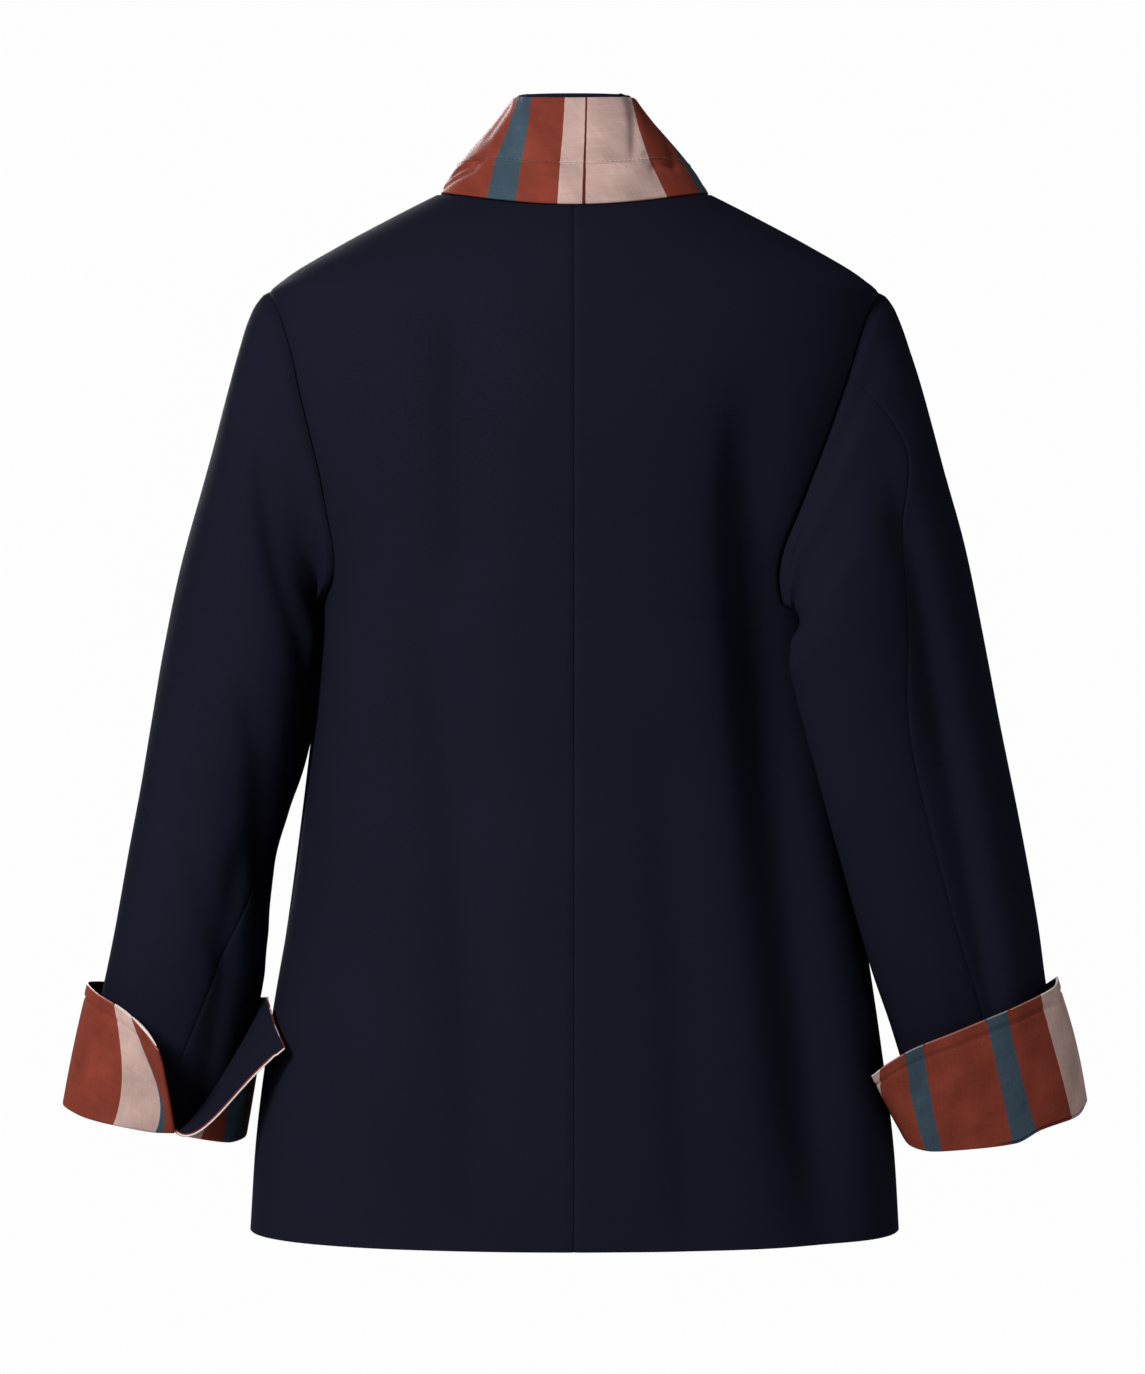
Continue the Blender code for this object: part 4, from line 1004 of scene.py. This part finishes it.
class Paint:
    """A material's node tree, built node by node. Sockets are given by name or index."""

    def __init__(self, name):
        self.made = bpy.data.materials.new(name)
        self.made.use_nodes = True
        self.tree = self.made.node_tree
        self.shader = self.tree.nodes["Principled BSDF"]

    def add(self, kind, inputs=(), **settings):
        node = self.tree.nodes.new(kind)
        for key, value in settings.items():
            setattr(node, key, value)
        for key, value in dict(inputs).items():
            self.put(node, key, value)
        return node

    def put(self, node, key, value):
        if isinstance(value, bpy.types.NodeSocket):
            self.tree.links.new(value, node.inputs[key])
        else:
            node.inputs[key].default_value = value

    def maths(self, operation, a, b=0.0):
        return self.add("ShaderNodeMath", {0: a, 1: b}, operation=operation).outputs[0]

    def mix(self, share, a, b, blend="MIX"):
        node = self.add("ShaderNodeMix", {0: share, 6: a, 7: b}, data_type="RGBA", blend_type=blend)
        return node.outputs[2]

    def noise(self, where, scale, detail):
        return self.add(
            "ShaderNodeTexNoise", {"Vector": where, "Scale": scale, "Detail": detail}
        ).outputs["Fac"]

    def bands(self, where, scale, direction, **inputs):
        given = {"Vector": where, "Scale": scale}
        given.update({key.replace("_", " "): value for key, value in inputs.items()})
        return self.add("ShaderNodeTexWave", given, bands_direction=direction).outputs["Fac"]

    def ranged(self, value, low, high, to_low=0.0, to_high=1.0):
        return self.add("ShaderNodeMapRange", {0: value, 1: low, 2: high, 3: to_low, 4: to_high}).outputs[0]

    def stretched(self, where, scale):
        return self.add("ShaderNodeMapping", {"Vector": where, "Scale": scale}).outputs[0]

    def bump(self, height, strength, distance, **inputs):
        given = {"Strength": strength, "Distance": distance, "Height": height, **inputs}
        return self.add("ShaderNodeBump", given).outputs[0]

    def finish(self, **sockets):
        for key, value in sockets.items():
            self.put(self.shader, key.replace("_", " "), value)
        return self.made


def full(colour):
    return (*colour, 1.0)


def suiting(name, colour, weave):
    """Worsted twill: diagonal ribs one weave step apart, yarns a little lighter and darker, and broad
    soft changes of tone where the cloth has been handled."""
    paint = Paint(name)
    where = paint.add("ShaderNodeUVMap", uv_map="cloth").outputs[0]
    ribs = paint.bands(where, 0.628 / weave, "DIAGONAL", Distortion=1.2, Detail=1.0, Detail_Scale=2.0)
    yarn = paint.noise(where, 0.55 / weave, 2.0)
    tone = paint.noise(where, 7.0, 3.0)
    lit = paint.mix(yarn, full([c * 0.72 for c in colour]), full([c * 1.28 for c in colour]))
    lit = paint.mix(paint.maths("MULTIPLY", ribs, 0.3), lit, full([c * 0.6 for c in colour]))
    worn = paint.ranged(tone, 0.3, 0.7, 0.0, 0.35)
    lit = paint.mix(worn, lit, full([c * 1.2 for c in colour]))
    relief = paint.maths("ADD", paint.maths("MULTIPLY", ribs, 0.6), paint.maths("MULTIPLY", yarn, 0.7))
    bump = paint.bump(relief, 0.22, 0.0003)
    return paint.finish(Base_Color=lit, Normal=bump, Roughness=0.8, Specular_IOR_Level=0.005)


def satin(name, stripes, shares, colours):
    """Striped satin: a stepped ramp over the stripe share gives the yarn colour. Yarns cross it both
    ways, a little uneven in width and tone, and soft clouds of tone lie over it."""
    paint = Paint(name)
    where = paint.add("ShaderNodeUVMap", uv_map="cloth").outputs[0]
    wander = paint.maths("SUBTRACT", paint.noise(where, 160.0, 1.0), 0.5)
    wander = paint.maths("MULTIPLY", wander, STRIPE_WANDER)
    share = paint.add("ShaderNodeAttribute", attribute_name="stripe").outputs["Fac"]
    ramp = paint.add("ShaderNodeValToRGB", {0: paint.maths("ADD", share, wander)})
    ramp.color_ramp.interpolation = "CONSTANT"
    elements = ramp.color_ramp.elements
    elements[1].position = 1.0
    elements[0].color = elements[1].color = full(colours[stripes[0].colour])
    for start, stripe in zip(shares[1:], stripes[1:]):
        elements.new(start).color = full(colours[stripe.colour])
    yarns = []
    for direction, stretch in (("X", (520.0, 60.0, 1.0)), ("Y", (60.0, 520.0, 1.0))):
        band = paint.bands(where, 0.314 / YARN, direction, Distortion=0.7, Detail=1.0, Detail_Scale=3.0)
        slub = paint.noise(paint.stretched(where, stretch), 1.0, 2.0)
        yarns.append(paint.maths("ADD", paint.maths("MULTIPLY", band, 0.5), slub))
    canvas = paint.maths("MULTIPLY", paint.maths("ADD", *yarns), 0.5)
    grain = paint.ranged(canvas, 0.45, 1.05, 0.84, 1.14)
    shade = paint.ranged(paint.noise(where, 34.0, 4.0), 0.3, 0.7, 0.78, 1.17)
    tone = paint.maths("MULTIPLY", grain, shade)
    level = paint.add("ShaderNodeCombineColor", {0: tone, 1: tone, 2: tone})
    woven = paint.mix(1.0, ramp.outputs["Color"], level.outputs[0], blend="MULTIPLY")
    weave = paint.bump(canvas, 0.30, 0.0002)
    bump = paint.bump(paint.noise(where, 30.0, 3.0), 0.30, 0.0016, Normal=weave)
    return paint.finish(Base_Color=woven, Normal=bump, Roughness=0.58, Specular_IOR_Level=0.008)


def thread(name, colour):
    """Twisted thread: bands round the yarn, and a soft shine."""
    paint = Paint(name)
    where = paint.add("ShaderNodeTexCoord").outputs["Object"]
    twist = paint.bands(where, 900.0, "DIAGONAL")
    tone = paint.mix(twist, full([c * 0.75 for c in colour]), full(colour))
    bump = paint.bump(twist, 0.3, 0.0001)
    return paint.finish(Base_Color=tone, Normal=bump, Roughness=0.55, Sheen_Weight=0.2)


def horn(name, colour):
    """Polished horn: long dark and light veins under a gloss."""
    paint = Paint(name)
    where = paint.add("ShaderNodeTexCoord").outputs["Object"]
    vein = paint.noise(paint.stretched(where, (60.0, 60.0, 420.0)), 1.0, 5.0)
    vein = paint.ranged(vein, 0.42, 0.68)
    tone = paint.mix(vein, full(colour), full((0.030, 0.021, 0.020)))
    rough = paint.ranged(vein, 0.0, 1.0, 0.24, 0.36)
    return paint.finish(Base_Color=tone, Roughness=rough, Coat_Weight=0.25, Coat_Roughness=0.15)


def cached(name, make, *given):
    return bpy.data.materials.get(name) or make(name, *given)


def navy():
    settings = bpy.context.scene.blazer
    return cached("navy_worsted", suiting, settings.navy, settings.weave)


def striped(name, stripes, shares):
    settings = bpy.context.scene.blazer
    colours = {name: getattr(settings, name) for name in ("rust", "teal", "pink", "dark")}
    return cached(name, satin, stripes, shares, colours)


# ---------------------------------------------------------------- settings


def colour_setting(name, description, default):
    return bpy.props.FloatVectorProperty(
        name=name, description=description, default=default, subtype="COLOR", size=3, min=0, max=1
    )


def length_setting(name, description, default, least):
    return bpy.props.FloatProperty(
        name=name, description=description, default=default, min=least, unit="LENGTH"
    )


class BlazerSettings(bpy.types.PropertyGroup):
    """Colours of the cloth and sizes of its sewing."""

    navy: colour_setting("Navy", "Colour of the suiting", (0.0070, 0.0069, 0.0138))
    rust: colour_setting("Rust", "Wide stripes of the satin", (0.150, 0.030, 0.019))
    dark: colour_setting("Dark rust", "The narrow stripe of the satin", (0.075, 0.014, 0.011))
    teal: colour_setting("Teal", "Blue-green stripes of the satin", (0.034, 0.054, 0.073))
    pink: colour_setting("Pink", "Pale stripes of the satin", (0.365, 0.252, 0.226))
    # Painted highlight: the cream of the cord along the left cuff's rolled edges, paler than the pink
    # lining.
    cream: colour_setting("Cream", "Piping and pale thread", (0.58, 0.53, 0.49))
    weave: length_setting("Weave", "Distance between twill ribs", 0.0009, 0.0003)
    stitch: length_setting("Stitch", "Length of one top stitch", 0.0024, 0.001)
    piping: length_setting("Piping", "Radius of the cord at the left cuff's slit", 0.00055, 0.0003)
    distance: length_setting("Camera distance", "From the camera to the garment's middle", 3.1, 1.0)


# ---------------------------------------------------------------- pieces


class BLAZER_OT_body(bpy.types.Operator):
    """Backs and fronts, seamed at the centre back, shoulders and sides"""

    bl_idname = "blazer.body"
    bl_label = "Body"

    def execute(self, context):
        for side in (LEFT, RIGHT):
            for face, name in ((BACK, "back_"), (FRONT, "front_")):
                grid = panel_grid(side, face)
                normals = grid_normals(grid, grid * [1, 1, 0])
                seams = ("start", "end", "top") if face == BACK else ("start", "top")
                node = name + word(side)
                piece = cloth(node, grid, normals, WALL, [navy()], seams=seams)
                dress(piece, node)
        return {"FINISHED"}


class BLAZER_OT_lapels(bpy.types.Operator):
    """Lapels, rolled round the front edges and lying on the fronts"""

    bl_idname = "blazer.lapels"
    bl_label = "Lapels"

    def execute(self, context):
        for side in (LEFT, RIGHT):
            grid = lapel_grid(side)
            flat = grid[:, LAPEL_ROLL_STEPS + 2 :]
            normals = grid_normals(grid, grid * 0 + grid_normals(flat, flat * [1, 1, 0]).mean((0, 1)))
            node = "lapel_" + word(side)
            piece = cloth(node, grid, normals, WALL, [navy()])
            dress(piece, node)
        return {"FINISHED"}


class BLAZER_OT_sleeves(bpy.types.Operator):
    """Two-piece sleeves, eased into the armholes"""

    bl_idname = "blazer.sleeves"
    bl_label = "Sleeves"

    def execute(self, context):
        for side in (LEFT, RIGHT):
            for top, name in ((True, "top_sleeve_"), (False, "under_sleeve_")):
                grid = sleeve_grid(side, top)
                run = SLEEVE_END * spaced(SLEEVE_ROWS)
                centre = sleeve_axes(run, side)[0][:, None] * [side, 1, 1]
                normals = grid_normals(grid, grid - centre)
                seams = ("start", "end", "top")
                node = name + word(side)
                piece = cloth(node, grid, normals, WALL, [navy()], seams=seams, dip=SLEEVE_SEAM_DIP)
                dress(piece, node)
        return {"FINISHED"}


class BLAZER_OT_collar(bpy.types.Operator):
    """Collar stand, striped under collar and navy upper collar, with the stitched line between them"""

    bl_idname = "blazer.collar"
    bl_label = "Collar"

    def execute(self, context):
        crease = int(round(COLLAR_CREASE * COLLAR_ROWS))
        stand = COLLAR_CREASE * spaced(crease)
        stand[0] = -COLLAR_TUCK
        fall = COLLAR_CREASE + (1 - COLLAR_CREASE) * spaced(COLLAR_ROWS - crease)
        shares = 2 * spaced(COLLAR_COLUMNS) - 1
        names = LEFT_SIDE_STRIPES + COLLAR_STRIPES + RIGHT_SIDE_STRIPES
        stripe_shares = shares_of(collar_stripe_ends(COLLAR_SHARE_HEIGHT))
        faces = [striped("collar_satin", names, stripe_shares), navy()]
        for node, ups, seam in (("collar_stand", stand, "bottom"), ("under_collar", fall, "top")):
            around, up = np.meshgrid(shares, ups)
            grid = collar_point(around, up)
            normals = grid_normals(grid, grid * [1, 1, 0])
            stripes = across_stripes(-around, up, lambda height: -collar_stripe_ends(height), stripe_shares)
            piece = cloth(
                node, grid, normals, COLLAR_WALL, faces, stripes, seams=(seam,), dip=COLLAR_SEAM_DIP
            )
            dress(piece, node)
        inside = np.concatenate([-np.array([3, 2, 1]) * COLLAR_INSIDE / 3, spaced(COLLAR_ROWS)])
        around, up = np.meshgrid(shares, inside)
        grid = collar_point(around, up)
        normals = grid_normals(grid, grid * [1, 1, 0])
        grid[-1] += unit(grid[-1] - grid[-2]) * UPPER_COLLAR_EDGE
        inset = COLLAR_WALL + 2 * SEAM_GAP
        piece = cloth("upper_collar", grid, normals, COLLAR_WALL, [navy()], inset=inset)
        dress(piece, "upper_collar")
        self.crease_stitches(context, names)
        return {"FINISHED"}

    def crease_stitches(self, context, names):
        """A stitched line just above the crease, whose thread looks darker or paler than each stripe."""
        size = context.scene.blazer.stitch
        height = COLLAR_CREASE + CREASE_STITCH_RISE
        ends = collar_stripe_ends(height)
        for index, stripe in enumerate(names):
            start, end = min(ends[index], 0.97), max(ends[index + 1], -0.97)
            if start - end < 0.02:
                continue
            line = np.linspace(start, end, 80)
            path = collar_point(line, np.full_like(line, height))
            out = unit(path * [1, 1, 0]) + [0, 0, 0.3]
            sewn = cached("collar_thread_" + stripe.colour, thread, CREASE_THREADS[stripe.colour])
            name = f"stitches_collar_crease_{index}"
            stitches(name, path, out, size * 1.38, size * 0.7, CREASE_THREAD_RADIUS, sewn, "striped_satin")


class BLAZER_OT_cuffs(bpy.types.Operator):
    """Turned-back cuffs, striped outside and navy inside, the left one with a pale cord along its slit, the
    rolled edge painted as a highlight
    """

    bl_idname = "blazer.cuffs"
    bl_label = "Cuffs"

    def execute(self, context):
        for side, ribs, stripes in (
            (LEFT, LEFT_CUFF, LEFT_CUFF_STRIPES),
            (RIGHT, RIGHT_CUFF, RIGHT_CUFF_STRIPES),
        ):
            around = side == RIGHT
            grid, turn, up = cuff_grid(ribs, side, around)
            centre = sleeve_axes(np.array(SLEEVE_END), side)[0] * [side, 1, 1]
            normals = grid_normals(grid, grid - centre, around)
            stripe_shares = shares_of(cuff_stripe_ends(stripes, CUFF_SHARE_HEIGHT))
            faces = [striped("cuff_satin_" + word(side), stripes, stripe_shares), navy()]
            shares = across_stripes(
                turn, up, lambda height: cuff_stripe_ends(stripes, height), stripe_shares
            )
            node = "cuff_" + word(side)
            thin = CUFF_WALL - (CUFF_WALL - CUFF_RIM_WALL) * ease((up - CUFF_THIN_FROM) / 0.12)
            piece = cloth(node, grid, normals, thin, faces, shares, around)
            dress(piece, node)
            if side == LEFT:
                self.pipe(context, grid, normals, turn[-1])
            self.roll_rim(side, grid, normals, stripes, turn[-1])
            self.hem_stitches(context, side, grid, normals)
        return {"FINISHED"}

    def roll_rim(self, side, grid, normals, stripes, turn):
        """The rolled edge of the rim: a thin cord over each stripe, painted a little paler than the stripe
        as a highlight where the edge catches the light.
        """
        rim = grid[-1] - normals[-1] * RIM_ROLL * 0.7
        ends = cuff_stripe_ends(stripes, 1.0)
        for index, stripe in enumerate(stripes):
            spot = np.flatnonzero((turn >= ends[index]) & (turn <= ends[index + 1]))
            if len(spot) < 4:
                continue
            name = f"rim_roll_{word(side)}_{index}"
            # painted highlight: a paler copy of the stripe's colour
            rolled = cached("rim_" + stripe.colour, thread, RIM_HIGHLIGHT_COLOURS[stripe.colour])
            tube(name, rim[spot], RIM_ROLL, rolled, sides=8)

    def pipe(self, context, grid, normals, turn):
        """A cream cord along the wing's slit edge, and one inside the rim that swells beside the slit. Both
        are the lining's rolled edges, painted cream as a highlight over the lining's own colour; the swell
        is where the painted highlight is widest.
        """
        radius = context.scene.blazer.piping
        out = unit(grid[:, -1] - grid[:, -2])
        edge = grid[:, -1] - normals[:, -1] * CUFF_WALL / 2 + out * CUFF_WALL * 0.45
        # painted highlight: cream cord for the lining's rolled edges
        cord = cached("cream_piping", thread, context.scene.blazer.cream)
        tube("piping_wing", edge[CUFF_BOTTOM_ROWS:], radius, cord)
        rim = grid[-1] - normals[-1] * CUFF_RIM_WALL * 0.7 + [0, 0, 0.0004]
        spot = np.flatnonzero((turn > 0.8) & (turn < PIPED_TURN))
        full_at = np.sin(math.pi * np.linspace(0.05, 0.95, len(spot)))
        tube("piping_rim", rim[spot], radius * (0.5 + 1.5 * full_at), cord)
        spot = np.flatnonzero((turn > PIPED_TURN - 0.5) & (turn < PINK_TURN))
        tube("piping_pink", rim[spot], radius * 0.75, cord)

    def hem_stitches(self, context, side, grid, normals):
        """Blind stitches where the turned edge under the rim is caught down."""
        length = np.linalg.norm(grid[-1] - grid[CUFF_BOTTOM_ROWS], axis=-1).mean()
        row = -1 - int(round(CUFF_HEM / length * CUFF_ROWS)) - 2
        sewn = cached("cuff_thread", thread, (0.16, 0.05, 0.035))
        name = "stitches_cuff_" + word(side)
        stitches(name, grid[row], normals[row], *HEM_STITCH, sewn, "striped_satin")


class BLAZER_OT_button(bpy.types.Operator):
    """The front button with its thread and the buttonhole under it"""

    bl_idname = "blazer.button"
    bl_label = "Button"

    def execute(self, context):
        low, high = (np.array(corner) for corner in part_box("front_button"))
        middle = (low + high) / 2
        radius, half = (high[0] - low[0]) / 2, (high[1] - low[1]) / 2
        self.disc(middle, radius, half)
        self.thread_bars(middle, half)
        self.hole(middle)
        return {"FINISHED"}

    def disc(self, middle, radius, half):
        """A turned profile swept round: flat back, rounded rim and a dished face with four holes."""
        profile = np.array(
            [
                (0.0, 1.0), (0.55, 1.0), (0.80, 0.98), (0.93, 0.72), (0.99, 0.30), (1.0, 0.0),
                (0.99, -0.35), (0.95, -0.72), (0.89, -0.95), (0.83, -1.0), (0.77, -0.92), (0.72, -0.66),
                (0.66, -0.50), (0.50, -0.44), (0.25, -0.42), (0.0, -0.42),
            ]
        )
        shape = bmesh.new()
        rings = [shape.verts.new((a * radius, b * half, 0)) for a, b in profile]
        edges = [shape.edges.new(pair) for pair in zip(rings, rings[1:])]
        bmesh.ops.spin(
            shape, geom=rings + edges, cent=(0, 0, 0), axis=(0, 1, 0), angle=2 * math.pi, steps=72,
            use_merge=True,
        )
        bmesh.ops.remove_doubles(shape, verts=shape.verts, dist=1e-6)
        bmesh.ops.recalc_face_normals(shape, faces=shape.faces)
        bmesh.ops.translate(shape, verts=shape.verts, vec=middle)
        mesh = bpy.data.meshes.new("button_disc")
        shape.to_mesh(mesh)
        shape.free()
        disc = bpy.data.objects.new("button_disc", mesh)
        bpy.context.scene.collection.objects.link(disc)
        for index, (across, down) in enumerate(self.hole_places()):
            bpy.ops.mesh.primitive_cylinder_add(
                vertices=24, radius=BUTTON_HOLE_RADIUS, depth=8 * half, rotation=(math.pi / 2, 0, 0),
                location=(middle[0] + across, middle[1], middle[2] + down),
            )
            drill = bpy.context.object
            cut = disc.modifiers.new(f"hole_{index}", "BOOLEAN")
            cut.object = drill
            bpy.context.view_layer.objects.active = disc
            bpy.ops.object.modifier_apply(modifier=cut.name)
            bpy.data.objects.remove(drill)
        disc.data.shade_smooth()
        disc.data.set_sharp_from_angle(angle=math.radians(35))
        disc.data.materials.append(cached("dark_horn", horn, (0.018, 0.015, 0.018)))
        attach(disc, "root")
        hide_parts("front_button")

    def hole_places(self):
        return [(a * BUTTON_HOLE_PLACE, b * BUTTON_HOLE_PLACE) for a in (-1, 1) for b in (-1, 1)]

    def thread_bars(self, middle, half):
        """Two bars of four strands each, over the face between the holes and down through them."""
        sewn = cached("button_thread", thread, (0.03, 0.03, 0.05))
        t = np.linspace(-1, 1, 13)
        for index, (side, strand) in enumerate([(a, b) for a in (-1, 1) for b in (-1.2, -0.4, 0.4, 1.2)]):
            path = np.stack(
                [
                    middle[0] + side * BUTTON_HOLE_PLACE + strand * 0.0003 + 0 * t,
                    middle[1] + half * 0.9 - 2 * half * np.clip(1.4 - np.abs(t) ** 6 * 1.6, 0, 0.82),
                    middle[2] + BUTTON_HOLE_PLACE * np.clip(t * 1.12, -1, 1),
                ],
                axis=-1,
            )
            tube(f"button_strand_{index}", path, STRAND_RADIUS, sewn, sides=8)

    def hole(self, middle):
        """A bound slit across the front, its edge a close round of stitches."""
        sewn = cached("button_thread", thread, (0.03, 0.03, 0.05))
        turn = np.linspace(0, 2 * math.pi, 121)
        across = 0.0125 * signed_power(np.cos(turn), 0.7) - 0.003
        down = 0.0013 * signed_power(np.sin(turn), 0.8)
        drop = (-middle[2] - down) / CM
        path = front_point(-(middle[0] + across) / CM, drop, RIGHT, 0.0001)
        out = np.tile([0.0, -1.0, 0.0], (len(path), 1))
        stitches("buttonhole_stitches", path, out, *BUTTONHOLE_STITCH, sewn, "navy_suiting")


class BLAZER_OT_stage(bpy.types.Operator):
    """Pale floor, soft studio light and the camera behind the garment"""

    bl_idname = "blazer.stage"
    bl_label = "Stage"

    def execute(self, context):
        context.scene.view_settings.view_transform = "Standard"
        self.room(context)
        self.lights(context)
        self.camera(context)
        return {"FINISHED"}

    def room(self, context):
        """A flat pale floor, and a world that is bright behind the garment but lights it softly."""
        world = bpy.data.worlds.new("studio")
        world.use_nodes = True
        nodes, links = world.node_tree.nodes, world.node_tree.links
        level = nodes.new("ShaderNodeMapRange")
        level.inputs["To Min"].default_value = AMBIENT
        level.inputs["To Max"].default_value = BACKGROUND
        links.new(nodes.new("ShaderNodeLightPath").outputs["Is Camera Ray"], level.inputs["Value"])
        links.new(level.outputs[0], nodes["Background"].inputs["Strength"])
        nodes["Background"].inputs["Color"].default_value = (1.0, 1.0, 1.0, 1)
        context.scene.world = world
        paint = Paint("pale_floor")
        where = paint.add("ShaderNodeTexCoord").outputs["Object"]
        tone = paint.mix(paint.noise(where, 2.0, 2.0), full([0.44] * 3), full([0.47] * 3))
        pale = paint.finish(Base_Color=tone, Roughness=0.9)
        side = np.linspace(-FLOOR_HALF, FLOOR_HALF, FLOOR_STEPS + 1)
        across, along = np.meshgrid(side, side)
        points = np.stack([across, along, np.full_like(across, -FLOOR_DROP)], axis=-1).reshape(-1, 3)
        mesh = bpy.data.meshes.new("floor")
        mesh.from_pydata(points.tolist(), [], grid_quads(len(side), len(side), False).tolist())
        mesh.materials.append(pale)
        floor = bpy.data.objects.new("floor", mesh)
        context.scene.collection.objects.link(floor)

    def lights(self, context):
        """A broad key light from the image's left, its mirror for the front, and a weak fill opposite."""
        for row in LAMPS:
            lamp = bpy.data.lights.new(row.name, "AREA")
            lamp.size = row.size
            lamp.energy = row.power
            thing = bpy.data.objects.new(row.name, lamp)
            thing.visible_camera = False
            context.scene.collection.objects.link(thing)
            aim(thing, row.place, LAMP_TARGET)

    def camera(self, context):
        """Level, at the garment's mid height, with the frame's height fitted at the garment."""
        camera = bpy.data.cameras.new("camera")
        thing = bpy.data.objects.new("camera", camera)
        context.scene.collection.objects.link(thing)
        distance = context.scene.blazer.distance
        aim(thing, (CAMERA_TARGET[0], distance, CAMERA_TARGET[2]), CAMERA_TARGET)
        camera.sensor_fit = "VERTICAL"
        camera.angle = 2 * math.atan(PHOTO_HEIGHT * METRES_PER_PIXEL / 2 / distance)
        camera.clip_start = 0.05
        context.scene.camera = thing


def aim(thing, place, target):
    """Places a lamp or camera and turns its -Z axis to the target, keeping its top up."""
    thing.location = place
    thing.rotation_euler = (Vector(target) - Vector(place)).to_track_quat("-Z", "Y").to_euler()


class BLAZER_PT_panel(bpy.types.Panel):
    """Buttons for the garment's pieces, in the order of making"""

    bl_idname = "BLAZER_PT_panel"
    bl_label = "Blazer"
    bl_space_type = "VIEW_3D"
    bl_region_type = "UI"
    bl_category = "Blazer"

    def draw(self, context):
        for name in BlazerSettings.__annotations__:
            self.layout.prop(context.scene.blazer, name)
        for operator in OPERATORS:
            self.layout.operator(operator.bl_idname)


OPERATORS = (
    BLAZER_OT_body,
    BLAZER_OT_lapels,
    BLAZER_OT_sleeves,
    BLAZER_OT_collar,
    BLAZER_OT_cuffs,
    BLAZER_OT_button,
    BLAZER_OT_stage,
)
CLASSES = (BlazerSettings, *OPERATORS, BLAZER_PT_panel)


def register():
    for one in CLASSES:
        bpy.utils.register_class(one)
    bpy.types.Scene.blazer = bpy.props.PointerProperty(type=BlazerSettings)


def unregister():
    del bpy.types.Scene.blazer
    for one in reversed(CLASSES):
        bpy.utils.unregister_class(one)


def main():
    register()
    bpy.ops.blazer.body()
    bpy.ops.blazer.lapels()
    bpy.ops.blazer.sleeves()
    bpy.ops.blazer.collar()
    bpy.ops.blazer.cuffs()
    bpy.ops.blazer.button()
    bpy.ops.blazer.stage()


if __name__ == "__main__":
    main()
